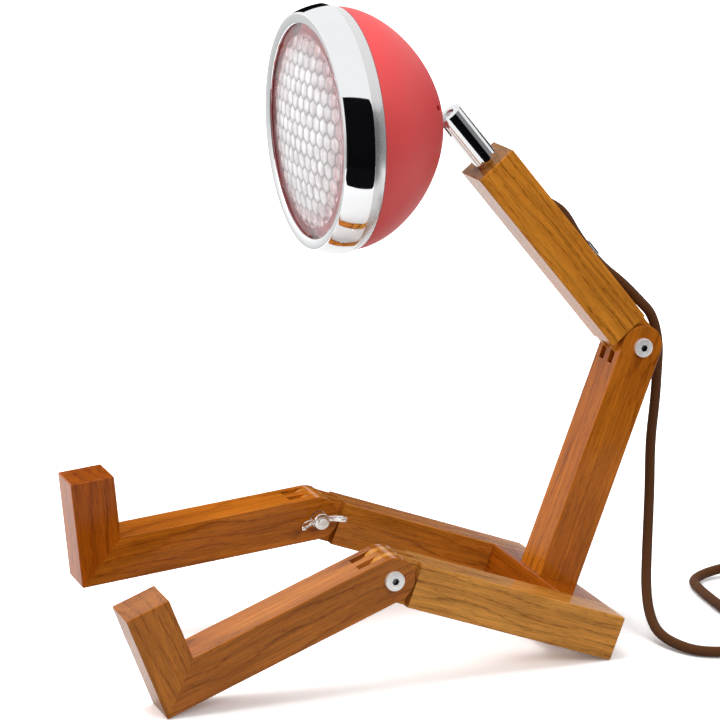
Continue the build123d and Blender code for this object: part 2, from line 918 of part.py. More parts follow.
with BuildPart() as dome_shell:
    with BuildSketch(side_plane(ball, head_slope)):
        with BuildLine():
            Line((dome_apex, stud_hole), outer_curve[0])
            Spline(*outer_curve)
            Polyline(
                outer_curve[-1],
                (dome_end, flange_radius),
                (flange_end, flange_radius),
                (flange_end, flange_radius - flange_wall),
                (inner_curve[-1][0] + 1.0, flange_radius - flange_wall),
                inner_curve[-1],
            )
            Spline(*inner_curve)
            Polyline(inner_curve[0], (boss_face, stud_hole), (dome_apex, stud_hole))
        make_face()
    revolve(axis=head_axis)
    vent_middle = (vent_inner + vent_outer) / 2
    vent_length = vent_outer - vent_inner
    for roll in (vent_roll, 180 - vent_roll):
        with BuildSketch(head_frame.offset(dome_apex)):
            with PolarLocations(vent_middle, 1, start_angle=roll):
                SlotOverall(vent_length, vent_width)
        extrude(amount=30.0, mode=Mode.SUBTRACT)
save(dome_shell, "dome_shell")

with BuildPart() as ball_stud:
    disc(ball, -trunnion_reach, trunnion_reach, trunnion_radius)
    with Locations((0, *ball)):
        Sphere(ball_radius)
    rod(ball, head_slope, 0, stud_end, stud_radius)
    rod(ball, head_slope, -ball_radius - 1, stud_end + 1, inner_stud_radius, Mode.SUBTRACT)
save(ball_stud, "ball_stud")

with BuildPart() as stud_collar:
    rod(ball, head_slope, collar_start, dome_apex, collar_radius)
    rod(ball, head_slope, 0, dome_apex, stud_hole, Mode.SUBTRACT)
save(stud_collar, "stud_collar")

washer_end = boss_face + stud_washer_height
bracket_end = washer_end + bracket_wall

with BuildPart() as stud_washer:
    rod(ball, head_slope, boss_face, washer_end, stud_washer_radius)
    rod(ball, head_slope, boss_face, washer_end, stud_hole, Mode.SUBTRACT)
save(stud_washer, "stud_washer")

with BuildPart() as stud_nut:
    with BuildSketch(head_frame.offset(bracket_end)):
        RegularPolygon(nut_flats / 2, 6, major_radius=False)
        Circle(stud_hole, mode=Mode.SUBTRACT)
    extrude(amount=nut_height)
save(stud_nut, "stud_nut")

arm_inner = bracket_arm_x - bracket_wall
boss_x = arm_inner - end_play
base_inner = bracket_base_half - bracket_wall / 2
half_bracket = [
    (bracket_base_half, washer_end),
    (bracket_arm_x, washer_end + bracket_arm_x - bracket_base_half),
    (bracket_arm_x, bracket_arm_end),
    (arm_inner, bracket_arm_end),
    (arm_inner, bracket_end + arm_inner - base_inner),
    (base_inner, bracket_end),
]
bracket_outline = half_bracket + [(-x, station) for x, station in reversed(half_bracket)]
screw_middle = at(ball, head_slope, holder_screw_station)
screw_hole_radius = holder_screw_radius + dowel_fit
lead_hole = inner_lead_radius + lead_fit

with BuildPart() as holder_bracket:
    flat = Plane(origin=(0, *ball), x_dir=(1, 0, 0), z_dir=-head_frame.y_dir)
    polygon(flat, bracket_outline, bracket_half)
    rod(ball, head_slope, washer_end - 1, bracket_end + 1, stud_hole, Mode.SUBTRACT)
    disc(screw_middle, -bracket_arm_x - 1, bracket_arm_x + 1, screw_hole_radius, Mode.SUBTRACT)
save(holder_bracket, "holder_bracket")

holder_floor = holder_back + holder_base

with BuildPart() as lampholder:
    lathe(
        ball,
        head_slope,
        [
            (holder_back, lead_hole),
            (holder_back, holder_radius),
            (holder_front, holder_radius),
            (holder_front, cap_radius + cap_fit),
            (holder_floor, cap_radius + cap_fit),
            (holder_floor, lead_hole),
        ],
    )
    for sign in sides.values():
        disc(screw_middle, sign * (holder_radius - 1), sign * boss_x, holder_boss_radius)
        hole_start = sign * (holder_screw_inner - end_play)
        disc(screw_middle, hole_start, sign * bracket_arm_x, screw_hole_radius, Mode.SUBTRACT)
save(lampholder, "lampholder")

with BuildPart() as holder_screws:
    for sign in sides.values():
        disc(screw_middle, sign * holder_screw_inner, sign * bracket_arm_x, holder_screw_radius)
        head_top = sign * (bracket_arm_x + holder_screw_head)
        disc(screw_middle, sign * bracket_arm_x, head_top, 2 * holder_screw_radius)
save(holder_screws, "holder_screws")

cap_start = holder_floor + cap_lift

with BuildPart() as bulb_cap:
    lathe(
        ball,
        head_slope,
        [
            (cap_start, 0),
            (cap_start, cap_tip_radius),
            (cap_start + cap_cone, cap_radius),
            (holder_front, cap_radius),
            (holder_front, 0),
        ],
    )
save(bulb_cap, "bulb_cap")

globe_foot = holder_front + globe_foot_step
globe_waist = globe_centre - globe_waist_drop
waist_radius = (globe_radius**2 - globe_waist_drop**2) ** 0.5

with BuildPart() as bulb_globe:
    with BuildSketch(side_plane(ball, head_slope)):
        with BuildLine():
            Polyline(
                (holder_front, 0),
                (holder_front, globe_foot_inner),
                (globe_foot, globe_foot_outer),
                (globe_waist, waist_radius),
            )
            ThreePointArc(
                (globe_waist, waist_radius), (globe_centre, globe_radius), (globe_centre + globe_radius, 0)
            )
            Line((globe_centre + globe_radius, 0), (holder_front, 0))
        make_face()
    revolve(axis=head_axis)
save(bulb_globe, "bulb_globe")

with BuildPart() as head_lead:
    rod(ball, head_slope, lead_fit - ball_radius, holder_floor - end_play, inner_lead_radius)
save(head_lead, "head_lead")

gasket_top = lens_front + gasket_slope
bezel_bore = bezel_lip_radius + 2 * bezel_play
crease_bore = bezel_crease_radius - bezel_wall
bezel_outline = [
    (dome_end + bezel_play, dome_radius - bezel_slip),
    (bezel_crease_station, bezel_crease_radius),
    (bezel_front_station, bezel_front_radius),
    (bezel_lip_station, bezel_lip_radius),
    (gasket_top, bezel_bore),
    (bezel_front_station - bezel_wall, bezel_front_radius - bezel_slip - dome_wall),
    (bezel_crease_station, crease_bore),
    (dome_end + bezel_play, flange_radius + bezel_slip),
]

with BuildPart() as bezel_ring:
    lathe(ball, head_slope, bezel_outline)
save(bezel_ring, "bezel_ring")

bezel_clip_outline = [
    (bezel_clip_back, flange_radius + bezel_slip),
    (flange_end - bezel_play, flange_radius + bezel_slip),
    (flange_end - bezel_play, bezel_clip_top),
    (flange_end - bezel_play - bezel_clip_bevel, bezel_clip_top),
]

with BuildPart() as bezel_clips:
    for roll in (0, 120, 240):
        lathe(ball, head_slope, bezel_clip_outline, arc=clip_arc, roll=roll)
save(bezel_clips, "bezel_clips")

rim_face = lens_front + lens_step
lens_apex = rim_face + lens_bulge

# A flat rim with a low step, and a shallow dome inside it.
with BuildPart() as lens:
    with BuildSketch(side_plane(ball, head_slope)):
        with BuildLine():
            TangentArc((lens_apex, 0), (rim_face, lens_step_radius), tangent=(0, 1))
            Polyline(
                (rim_face, lens_step_radius),
                (lens_front, lens_step_radius),
                (lens_front, lens_radius),
                (lens_back, lens_radius),
                (lens_back, lens_step_radius),
            )
            TangentArc((lens_apex - lens_wall, 0), (lens_back, lens_step_radius), tangent=(0, 1))
            Line((lens_apex - lens_wall, 0), (lens_apex, 0))
        make_face()
    revolve(axis=head_axis)
save(lens, "lens")

gasket_outline = [
    (lens_front, bezel_bore + bezel_play),
    (lens_front, lens_radius),
    (gasket_top + gasket_slope, lens_radius),
    (gasket_top, bezel_bore + bezel_play),
]

with BuildPart() as lens_gasket:
    lathe(ball, head_slope, gasket_outline)
save(lens_gasket, "lens_gasket")

# A lens clip's foot leans against the bezel's inside, and its tongue lies behind the lens.
tongue_top = lens_back - bezel_slip
tongue_foot = tongue_top - lens_clip_wall
lens_clip_outline = [
    (tongue_top, lens_clip_bore),
    (tongue_top, lens_clip_shoulder),
    (lens_clip_foot, crease_bore - lens_clip_wall / 2),
    (lens_clip_foot, crease_bore - 3 * lens_clip_wall / 2),
    (tongue_foot, lens_clip_shoulder - lens_clip_wall),
    (tongue_foot, lens_clip_bore),
]

with BuildPart() as lens_clips:
    for roll in (60, 180, 300):
        lathe(ball, head_slope, lens_clip_outline, arc=clip_arc, roll=roll)
save(lens_clips, "lens_clips")

# ---------------------------------------------------------------- cord

with BuildPart() as cord_upper:
    radii = main_radii[:6]
    length = tube([*main_route[:7], bend_start], radii, cord_radius)
report_tube("cord_upper", cord_upper, length, radii)
save(cord_upper, "cord_upper")

with BuildPart() as cord_bend:
    radii = main_radii[6:10]
    length = tube([bend_start, *main_route[7:11], bend_end], radii, cord_radius)
report_tube("cord_bend", cord_bend, length, radii)
save(cord_bend, "cord_bend")

with BuildPart() as cord_drop:
    radii = main_radii[10:]
    length = tube([bend_end, *main_route[11:]], radii, cord_radius)
report_tube("cord_drop", cord_drop, length, radii)
save(cord_drop, "cord_drop")

switch_in = Vector(main_route[-1])
switch_out = Vector(link_route[0])
switch_middle = (switch_in + switch_out) / 2
switch_along = (switch_out - switch_in).normalized()
switch_across = Vector(0, 0, 1).cross(switch_along)
switch_base_point = (switch_middle.X, switch_middle.Y, floor_lift)
switch_floor = Plane(origin=switch_base_point, x_dir=switch_along, z_dir=(0, 0, 1))
switch_side = Plane(origin=switch_middle, x_dir=switch_along, z_dir=-switch_across)


def switch_shell(builder):
    """The whole in-line switch: a rounded body with a tapered relief at each end."""
    with BuildSketch(switch_floor) as plan:
        RectangleRounded(switch_length, switch_width, switch_corner)
    extrude(plan.sketch, amount=switch_height - floor_lift)
    fillet(builder.faces().filter_by(Axis.Z).edges(), switch_round)
    body_end = switch_length / 2 - relief_overlap
    relief_end = switch_length / 2 + relief_length
    for sign in (-1, 1):
        with BuildSketch(switch_side) as relief:
            with BuildLine():
                Polyline(
                    (sign * body_end, 0),
                    (sign * body_end, relief_start),
                    (sign * relief_end, relief_tip),
                    (sign * relief_end, 0),
                    close=True,
                )
            make_face()
        revolve(relief.sketch, axis=Axis(tuple(switch_middle), tuple(switch_along)))


with BuildPart() as switch_base:
    switch_shell(switch_base)
    split(bisect_by=Plane.XY.offset(switch_split), keep=Keep.BOTTOM)
save(switch_base, "switch_base")

rocker_turn = radians(rocker_tilt)
pivot = Vector(switch_middle.X, switch_middle.Y, pivot_height)
rocker_along = switch_along * cos(rocker_turn) + Vector(0, 0, sin(rocker_turn))

with BuildPart() as switch_top:
    switch_shell(switch_top)
    split(bisect_by=Plane.XY.offset(switch_split), keep=Keep.TOP)
    with BuildSketch(switch_floor.offset(pocket_floor - floor_lift)):
        Rectangle(2 * (rocker_half_length + 2 * pocket_fit), 2 * (rocker_half_width + pocket_fit))
    extrude(amount=switch_height, mode=Mode.SUBTRACT)
save(switch_top, "switch_top")

with BuildPart() as switch_rocker:
    with BuildSketch(Plane(origin=pivot, x_dir=rocker_along, z_dir=-switch_across)):
        with BuildLine():
            Polyline(
                (-rocker_half_length, -rocker_low),
                (-rocker_half_length, rocker_high),
                (0, rocker_dip),
                (rocker_half_length, rocker_high),
                (rocker_half_length, -rocker_low),
                close=True,
            )
        make_face()
        Circle(rocker_hub)
        with Locations((0, rocker_hub)):
            Rectangle(4 * rocker_hub, 2 * (rocker_hub - rocker_dip), mode=Mode.SUBTRACT)
    extrude(amount=rocker_half_width, both=True)
save(switch_rocker, "switch_rocker")

with BuildPart() as cord_link:
    radii = corner_radii(link_route)
    length = tube(link_route, radii, cord_radius)
report_tube("cord_link", cord_link, length, radii)
save(cord_link, "cord_link")

coil_lift_middle = coil_lift + coil_height / 2
coil_axis = Axis((*coil_middle, 0), (0, 0, 1))
print("cord in the coil", round(2 * pi * coil_mid_radius * coil_turns, 1))
coil_plane = Plane(origin=(*coil_middle, 0), x_dir=(1, 0, 0), z_dir=(0, -1, 0))

with BuildPart() as cord_coil:
    with BuildSketch(coil_plane):
        with Locations((coil_mid_radius, coil_lift_middle)):
            RectangleRounded(2 * coil_half_width, coil_height, coil_round)
    revolve(axis=coil_axis)
save(cord_coil, "cord_coil")

tie_turn = radians(tie_bearing)
tie_spoke = Vector(cos(tie_turn), sin(tie_turn), 0)
tie_plane = Plane(origin=(*coil_middle, 0), x_dir=tie_spoke, z_dir=tie_spoke.cross(Vector(0, 0, 1)))
tie_width_across = 2 * (coil_half_width + tie_wall)
tie_height = coil_height + 2 * tie_wall

with BuildPart() as cord_tie:
    with BuildSketch(tie_plane):
        with Locations((coil_mid_radius, coil_lift_middle)):
            RectangleRounded(tie_width_across, tie_height, coil_round + tie_wall)
            RectangleRounded(2 * coil_half_width, coil_height, coil_round, mode=Mode.SUBTRACT)
    extrude(amount=tie_width / 2, both=True)
save(cord_tie, "cord_tie")

with BuildPart() as cord_tail:
    radii = corner_radii(tail_route)
    length = tube(tail_route, radii, cord_radius)
report_tube("cord_tail", cord_tail, length, radii)
save(cord_tail, "cord_tail")

plug_turn = radians(plug_bearing)
plug_along = Vector(cos(plug_turn), sin(plug_turn), 0)
plug_across = Vector(0, 0, 1).cross(plug_along)
plug_tip = Vector(tail_route[-1])
plug_face = plug_relief + plug_length
body_middle = plug_tip + plug_along * (plug_relief + plug_length / 2)
body_floor = (body_middle.X, body_middle.Y, floor_lift)
pin_lines = [plug_tip + plug_across * (sign * pin_spacing / 2) for sign in (-1, 1)]


def pin(line, start, end, radius, mode=Mode.ADD):
    """A cylinder along one pin of the plug, from start to end past the plug's tip."""
    with BuildSketch(Plane(origin=line + plug_along * start, z_dir=plug_along)) as face:
        Circle(radius)
    extrude(face.sketch, amount=end - start, mode=mode)


with BuildPart() as plug_body:
    with BuildSketch(Plane(origin=body_floor, x_dir=plug_along, z_dir=(0, 0, 1))):
        RectangleRounded(plug_length, plug_width, plug_corner)
    extrude(amount=plug_height)
    fillet(plug_body.faces().filter_by(Axis.Z).edges(), plug_round)
    with BuildSketch(Plane(origin=plug_tip, x_dir=plug_along, z_dir=-plug_across)):
        with BuildLine():
            Polyline(
                (0, 0),
                (0, relief_tip),
                (plug_relief + relief_overlap, plug_relief_start),
                (plug_relief + relief_overlap, 0),
                close=True,
            )
        make_face()
    revolve(axis=Axis(tuple(plug_tip), tuple(plug_along)))
    for line in pin_lines:
        pin(line, plug_face - pin_depth, plug_face + 1, pin_root_radius + dowel_fit, Mode.SUBTRACT)
save(plug_body, "plug_body")

with BuildPart() as plug_pins:
    for line in pin_lines:
        pin(line, plug_face, plug_face + pin_length, pin_radius)
    tips = plug_pins.edges().filter_by(GeomType.CIRCLE).sort_by(Axis(tuple(plug_tip), tuple(plug_along)))[-2:]
    fillet(tips, pin_tip_round)
    for line in pin_lines:
        pin(line, plug_face - pin_depth + end_play, plug_face, pin_root_radius)
save(plug_pins, "plug_pins")
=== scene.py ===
"""Robot shaped desk lamp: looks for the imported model, as an add-on that is run as a script."""

import json
from math import cos, pi, radians, sin, sqrt

import bmesh
import bpy
from bpy.props import FloatProperty, FloatVectorProperty, PointerProperty
from mathutils import Matrix, Vector
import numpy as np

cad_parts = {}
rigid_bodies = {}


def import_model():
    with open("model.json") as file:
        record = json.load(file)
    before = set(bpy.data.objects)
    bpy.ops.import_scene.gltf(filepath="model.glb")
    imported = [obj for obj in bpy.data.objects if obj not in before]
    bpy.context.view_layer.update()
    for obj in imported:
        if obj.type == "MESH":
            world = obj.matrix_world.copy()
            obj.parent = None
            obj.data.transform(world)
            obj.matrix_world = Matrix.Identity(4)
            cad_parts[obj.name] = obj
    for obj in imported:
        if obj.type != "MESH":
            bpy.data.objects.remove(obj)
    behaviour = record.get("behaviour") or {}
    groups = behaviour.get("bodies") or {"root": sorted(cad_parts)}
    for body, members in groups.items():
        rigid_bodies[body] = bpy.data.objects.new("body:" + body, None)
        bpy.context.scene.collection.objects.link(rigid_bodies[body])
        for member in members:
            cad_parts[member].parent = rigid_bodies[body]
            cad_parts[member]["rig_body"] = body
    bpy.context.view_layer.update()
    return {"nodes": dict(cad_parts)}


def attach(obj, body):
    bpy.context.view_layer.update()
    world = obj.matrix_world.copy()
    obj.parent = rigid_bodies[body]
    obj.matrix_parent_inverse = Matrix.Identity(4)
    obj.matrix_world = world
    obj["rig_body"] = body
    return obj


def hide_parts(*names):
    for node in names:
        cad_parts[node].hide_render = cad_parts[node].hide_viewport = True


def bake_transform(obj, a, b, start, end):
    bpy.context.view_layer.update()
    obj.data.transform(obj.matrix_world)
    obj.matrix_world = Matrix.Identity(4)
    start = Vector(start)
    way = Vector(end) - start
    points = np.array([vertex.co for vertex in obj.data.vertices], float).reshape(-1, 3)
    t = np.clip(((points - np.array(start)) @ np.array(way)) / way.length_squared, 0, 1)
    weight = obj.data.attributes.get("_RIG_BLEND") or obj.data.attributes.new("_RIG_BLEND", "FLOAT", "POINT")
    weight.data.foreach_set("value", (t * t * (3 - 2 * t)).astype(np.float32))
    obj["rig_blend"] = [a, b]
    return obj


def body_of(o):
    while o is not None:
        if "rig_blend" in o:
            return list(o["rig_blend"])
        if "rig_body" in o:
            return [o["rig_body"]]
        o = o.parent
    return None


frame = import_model()

bl_info = {
    "name": "Robot desk lamp",
    "version": (1, 0, 0),
    "blender": (4, 5, 0),
    "location": "View3D > Sidebar > Lamp",
    "description": "Builds the lamp's visible pieces and finishes on the packed frame",
    "category": "Object",
}

# ---- places, in metres and degrees
# A slope is measured up from straight ahead, and the lamp faces -Y.

SEAT_SLOPE = 20.6
TORSO_SLOPE = 110.6
UPPER_SLOPE = 50.6
HEAD_SLOPE = -0.8
SHIN_SLOPES = {"left": -20.813, "right": -5.2}
THIGH_X = 0.066
KNEE = Vector((0, -0.020542, 0.068817))
TORSO_FOOT = Vector((0, 0.117303, 0.031960))
BACK_AXIS = Vector((0, 0.172719, 0.179390))
BALL = Vector((0, 0.049264, 0.329687))
SEAT_END = Vector((0, 0.123366, -0.000230))

MAIN_ROUTE = [
    (0, 93.6, 281.4), (0, 103.4, 277.1), (0, 114.1, 273.6), (0, 124.3, 266.4), (0, 133.3, 250.5),
    (0, 149.1, 231.2), (0, 164.4, 219.1), (0, 178.4, 204.8), (0, 186.6, 196.0), (0, 191.4, 177.9),
    (0, 190.8, 159.3), (0, 189.9, 139.6), (0, 187.8, 120.0), (0.3, 187.1, 103.8), (2.5, 186.3, 84.0),
    (9.0, 182.7, 63.0), (20.0, 176.8, 43.5), (33.5, 170.0, 27.5), (48.5, 165.2, 14.5), (64.5, 164.4, 5.6),
    (88.6, 172.1, 3.4), (99.6, 185.0, 3.4), (102.1, 201.7, 3.4), (95.3, 217.3, 3.4), (81.4, 226.8, 3.4),
    (-22.0, 231.3, 3.4), (-35.6, 241.0, 3.4), (-41.3, 256.4, 4.6), (-38.0, 272.6, 7.5), (-26.0, 284.6, 7.5),
]
LINK_ROUTE = [
    (34.8, 345.4, 7.5), (41.9, 352.5, 7.5), (53.5, 359.4, 9.2), (66.6, 362.6, 10.6), (79.0, 362.8, 10.9),
]
TAIL_ROUTE = [
    (103.7, 357.0, 4.4), (114.6, 351.8, 4.2), (125.6, 342.6, 5.0), (132.8, 330.5, 6.8), (136.2, 320.0, 6.8),
]
BEND_START = (0, 0.1728, 0.2105)
BEND_END = (0, 0.19036, 0.14965)
COIL_MIDDLE = Vector((0.084, 0.323, 0))
# The coil's places, as radius and height, in the order in which the cord fills them.
COIL_PLACES = [(39.3, 10.9), (39.3, 17.4), (32.7, 17.4), (32.7, 10.9), (32.7, 4.4), (39.3, 4.4)]
COIL_FIRST = 97.2
COIL_TURNS = 5
COIL_OVERRUN = 37.3
COIL_STEP = 20.0
# In degrees: where the last turn's shift starts, how much later each turn before it does, and its length.
COIL_SHIFT_START = 45.0
COIL_SHIFT_LAG = 58.0
COIL_SHIFT_RUN = 50.0


def linear(red, green, blue):
    """A colour as the shaders take it, from its 0 to 255 values."""
    channels = [value / 255 for value in (red, green, blue)]
    return tuple(c / 12.92 if c <= 0.04045 else ((c + 0.055) / 1.055) ** 2.4 for c in channels)


def ahead(slope):
    turn = radians(slope)
    return Vector((0, -cos(turn), sin(turn)))


def lifted(slope):
    turn = radians(slope)
    return Vector((0, sin(turn), cos(turn)))


def metres(points):
    return [Vector(point) / 1000 for point in points]


def ease(share):
    """A share from 0 to 1 that starts and ends gently."""
    share = min(max(share, 0.0), 1.0)
    return share * share * (3 - 2 * share)


def scaled(colour, share):
    """A lighter or darker shade of a colour."""
    return tuple(min(1.0, value * share) for value in colour)


# ---- sizes and colours

COLOUR = {"subtype": "COLOR", "min": 0, "max": 1}
LENGTH = {"subtype": "DISTANCE", "unit": "LENGTH"}


class LampSettings(bpy.types.PropertyGroup):
    """Sizes and colours that a user would change"""

    lacquer: FloatVectorProperty(
        name="Lacquer", description="Colour of the head's shell", default=(0.80, 0.057, 0.060), **COLOUR
    )
    textile: FloatVectorProperty(
        name="Textile", description="Colour of the cord's sleeve", default=linear(92, 56, 29), **COLOUR
    )
    moulding: FloatVectorProperty(
        name="Mouldings", description="Colour of the switch and plug", default=linear(58, 38, 28), **COLOUR
    )
    cord_diameter: FloatProperty(
        name="Cord diameter", description="Thickness of the cord", default=0.0065, min=0.005, max=0.007,
        **LENGTH,
    )
    cell_pitch: FloatProperty(
        name="Cell pitch", description="Distance between the lens's cells", default=0.0099, min=0.006,
        max=0.016, **LENGTH,
    )
    cell_height: FloatProperty(
        name="Cell height", description="How far a cell's crown stands out", default=0.0009, min=0.0,
        max=0.002, **LENGTH,
    )


# ---- node materials


class Graph:
    """Short ways to add to a node tree."""

    def __init__(self, owner, bare=False):
        owner.use_nodes = True
        self.tree = owner.node_tree
        if bare:
            self.tree.nodes.clear()

    def put(self, node, socket, value):
        """Link or set one input."""
        if isinstance(value, bpy.types.NodeSocket):
            self.tree.links.new(value, node.inputs[socket])
        else:
            node.inputs[socket].default_value = value

    def add(self, kind, inputs=None, **settings):
        node = self.tree.nodes.new("ShaderNode" + kind)
        for key, value in settings.items():
            setattr(node, key, value)
        for socket, value in (inputs or {}).items():
            self.put(node, socket, value)
        return node

    def place(self):
        return self.add("TexCoord").outputs["Object"]

    def mapped(self, vector, **inputs):
        kind = inputs.pop("kind", "POINT")
        return self.add("Mapping", {"Vector": vector, **inputs}, vector_type=kind).outputs["Vector"]

    def millimetres(self):
        return self.mapped(self.place(), Scale=(1000, 1000, 1000))

    def noise(self, vector, scale, detail=3.0, roughness=0.55, colour=False):
        inputs = {"Vector": vector, "Scale": scale, "Detail": detail, "Roughness": roughness}
        return self.add("TexNoise", inputs).outputs["Color" if colour else "Fac"]

    def streaks(self, vector, along, across, detail=2.0, roughness=0.55, colour=False):
        """Noise that is drawn out along the first axis."""
        stretched = self.mapped(vector, Scale=(along, across, across))
        return self.noise(stretched, 1.0, detail, roughness, colour)

    def ramp(self, factor, *stops):
        """A ramp from (place, value or colour) stops."""
        node = self.add("ValToRGB", {"Fac": factor})
        band = node.color_ramp.elements
        while len(band) < len(stops):
            band.new(1.0)
        for element, (place, value) in zip(band, stops):
            element.position = place
            element.color = (*value, 1) if isinstance(value, tuple) else (value, value, value, 1)
        return node.outputs["Color"]

    def mix(self, factor, first, second, blend="MIX"):
        node = self.add("Mix", data_type="RGBA", blend_type=blend)
        for index, value in ((0, factor), (6, first), (7, second)):
            self.put(node, index, (*value, 1) if isinstance(value, tuple) else value)
        return node.outputs[2]

    def maths(self, operation, *values, **settings):
        node = self.add("Math", dict(enumerate(values)), operation=operation, **settings)
        return node.outputs[0]

    def times(self, first, second):
        return self.maths("MULTIPLY", first, second)

    def vector(self, operation, *values):
        return self.add("VectorMath", dict(enumerate(values)), operation=operation).outputs["Vector"]

    def measure(self, operation, *values):
        return self.add("VectorMath", dict(enumerate(values)), operation=operation).outputs["Value"]

    def spread(self, value, source, target, **settings):
        """A value moved from one range to another."""
        inputs = {"Value": value, "From Min": source[0], "From Max": source[1], "To Min": target[0]}
        return self.add("MapRange", {**inputs, "To Max": target[1]}, **settings).outputs[0]

    def plain_view(self, ray):
        """1 to the camera, in mirrors and through glass, and 0 to scattered light."""
        beyond = self.maths("MAXIMUM", ray["Is Glossy Ray"], ray["Is Transmission Ray"])
        return self.maths("MAXIMUM", ray["Is Camera Ray"], beyond)


class Finish(Graph):
    """A node material with one shader."""

    def __init__(self, name, **sockets):
        self.material = bpy.data.materials.new(name)
        super().__init__(self.material)
        self.shader = self.tree.nodes["Principled BSDF"]
        for socket, value in sockets.items():
            self.feed(socket.replace("_", " "), value)

    def feed(self, socket, value):
        self.put(self.shader, socket, value)

    def bump(self, height, distance, strength=1.0):
        node = self.add("Bump", {"Height": height, "Distance": distance, "Strength": strength})
        self.feed("Normal", node.outputs["Normal"])


# How far one bar's grain lies from another's, in millimetres for each step of the seed.
SEED_SHIFT = (91.0, 17.0, 29.0)
RINGS_PER_MM = 0.135
RING_SWAY = 26.0
# Shares of a bar's tone: its palest and dullest patches, the late wood of its rings, and its pores.
WOOD_SHADES = ((1.14, 1.18, 1.2), (0.88, 0.84, 0.8), (0.50, 0.37, 0.2), (0.33, 0.22, 0.16))
END_TONE = (0.76, 0.74, 0.78)


def wood_finish(name, base, slope, tone, seed, heart, across=False, end_tone=END_TONE):
    """Varnished hardwood whose grain runs along a bar, or across the lamp."""
    wood = Finish(
        name, Specular_IOR_Level=0.0, Coat_Weight=1.0, Coat_Roughness=0.14, Coat_IOR=1.25, Roughness=0.5
    )
    side, bar = Vector((1, 0, 0)), ahead(slope)
    axes = (side, -bar, lifted(slope)) if across else (bar, side, lifted(slope))
    # In the bar's own millimetres: along it, across it and through it.
    local = wood.mapped(
        wood.place(), kind="TEXTURE", Location=base, Rotation=Matrix(axes).transposed().to_euler(),
        Scale=(0.001, 0.001, 0.001),
    )
    shifted = wood.mapped(local, Location=tuple(seed * shift for shift in SEED_SHIFT))
    # Growth rings round a heart beside the bar, which wander slowly along its length.
    drift = wood.vector("SUBTRACT", wood.streaks(shifted, 0.009, 0.03, colour=True), (0.5, 0.5, 0.5))
    wandering = wood.vector("ADD", local, wood.vector("MULTIPLY", drift, (0.0, RING_SWAY, RING_SWAY)))
    spokes = wood.mapped(wandering, Location=(0, *heart), Scale=(0.03, 1, 1))
    ring = wood.maths("FRACT", wood.times(wood.measure("LENGTH", spokes), RINGS_PER_MM))
    late = wood.ramp(ring, (0.0, 0.25), (0.4, 0.0), (0.78, 0.3), (0.92, 1.0), (0.97, 1.0), (1.0, 0.25))
    broad = wood.streaks(shifted, 0.008, 0.05)
    patch = wood.ramp(wood.streaks(shifted, 0.02, 0.08), (0.35, 0.2), (0.6, 1.0))
    fibre = wood.streaks(shifted, 0.05, 2.2, 4.0, 0.7)
    fleck = wood.streaks(shifted, 0.16, 1.5, 3.0, 0.6)
    strand = wood.streaks(shifted, 0.022, 0.5, 3.0, 0.65)
    # Open pores: short dark dashes, most of them beside the rings.
    pores = wood.ramp(wood.maths("MULTIPLY_ADD", late, 0.13, fleck), (0.60, 0.0), (0.68, 1.0))
    pale, dull, streak, deep = (
        tuple(value * share for value, share in zip(tone, shares)) for shares in WOOD_SHADES
    )
    colour = wood.mix(wood.ramp(broad, (0.36, 0.0), (0.64, 1.0)), pale, dull)
    colour = wood.mix(wood.times(wood.times(late, patch), 0.5), colour, streak)
    colour = wood.mix(wood.times(pores, 0.5), colour, deep)
    colour = wood.mix(1.0, colour, wood.ramp(strand, (0.32, 0.78), (0.68, 1.2)), "MULTIPLY")
    colour = wood.mix(1.0, colour, wood.ramp(fibre, (0.3, 0.82), (0.7, 1.16)), "MULTIPLY")
    # Sawn ends are darker than the sides.
    facing = wood.measure("DOT_PRODUCT", wood.add("TexCoord").outputs["Normal"], axes[0])
    sawn = wood.ramp(wood.maths("ABSOLUTE", facing), (0.85, 0.0), (0.95, 1.0))
    wood.feed("Base Color", wood.mix(sawn, colour, wood.mix(1.0, colour, end_tone, "MULTIPLY")))
    wood.feed("Roughness", wood.ramp(pores, (0.0, 0.45), (1.0, 0.7)))
    wood.bump(wood.maths("SUBTRACT", wood.times(fibre, 0.3), pores), 0.00008, 0.5)
    return wood.material


def metal_finish(name, colour, roughness, brushing=0.0, metallic=1.0):
    """Plated metal with faint smears in its gloss."""
    metal = Finish(name, Metallic=metallic)
    place = metal.millimetres()
    smear = metal.noise(place, 0.09, 4.0)
    metal.feed("Base Color", metal.mix(smear, colour, scaled(colour, 1.04)))
    metal.feed("Roughness", metal.ramp(smear, (0.3, roughness), (0.75, roughness * 1.5 + 0.01)))
    if brushing:
        metal.bump(metal.noise(place, 2.4, 2.0), brushing)
    return metal.material


def lacquer_finish(colour):
    """Satin lacquer with a fine orange peel and faint clouds."""
    lacquer = Finish("head_lacquer", Specular_IOR_Level=0.95)
    place = lacquer.millimetres()
    cloud = lacquer.noise(place, 0.03, 3.0)
    lacquer.feed("Base Color", lacquer.mix(cloud, scaled(colour, 0.95), scaled(colour, 1.05)))
    lacquer.feed("Roughness", lacquer.ramp(cloud, (0.3, 0.50), (0.7, 0.58)))
    lacquer.bump(lacquer.noise(place, 1.3, 2.0), 0.00003, 0.5)
    return lacquer.material


# How far the lens's face lies ahead of the ball, and the colours of its parts.
LENS_AHEAD = 0.094
LENS_CLEAR = (0.97, 0.97, 0.98)
# Painted reflection: the red of the dome, seen in the glass towards its rim.
LENS_DOME_REFLECTION = (0.96, 0.72, 0.74)
LENS_CLOUD = (0.66, 0.62, 0.65)
# Painted shade along the grooves between the cells.
LENS_GROOVE_SHADE = (0.32, 0.29, 0.28)
# The strength of the painted glow in the lens's middle.
LENS_PAINTED_GLOW = 0.25


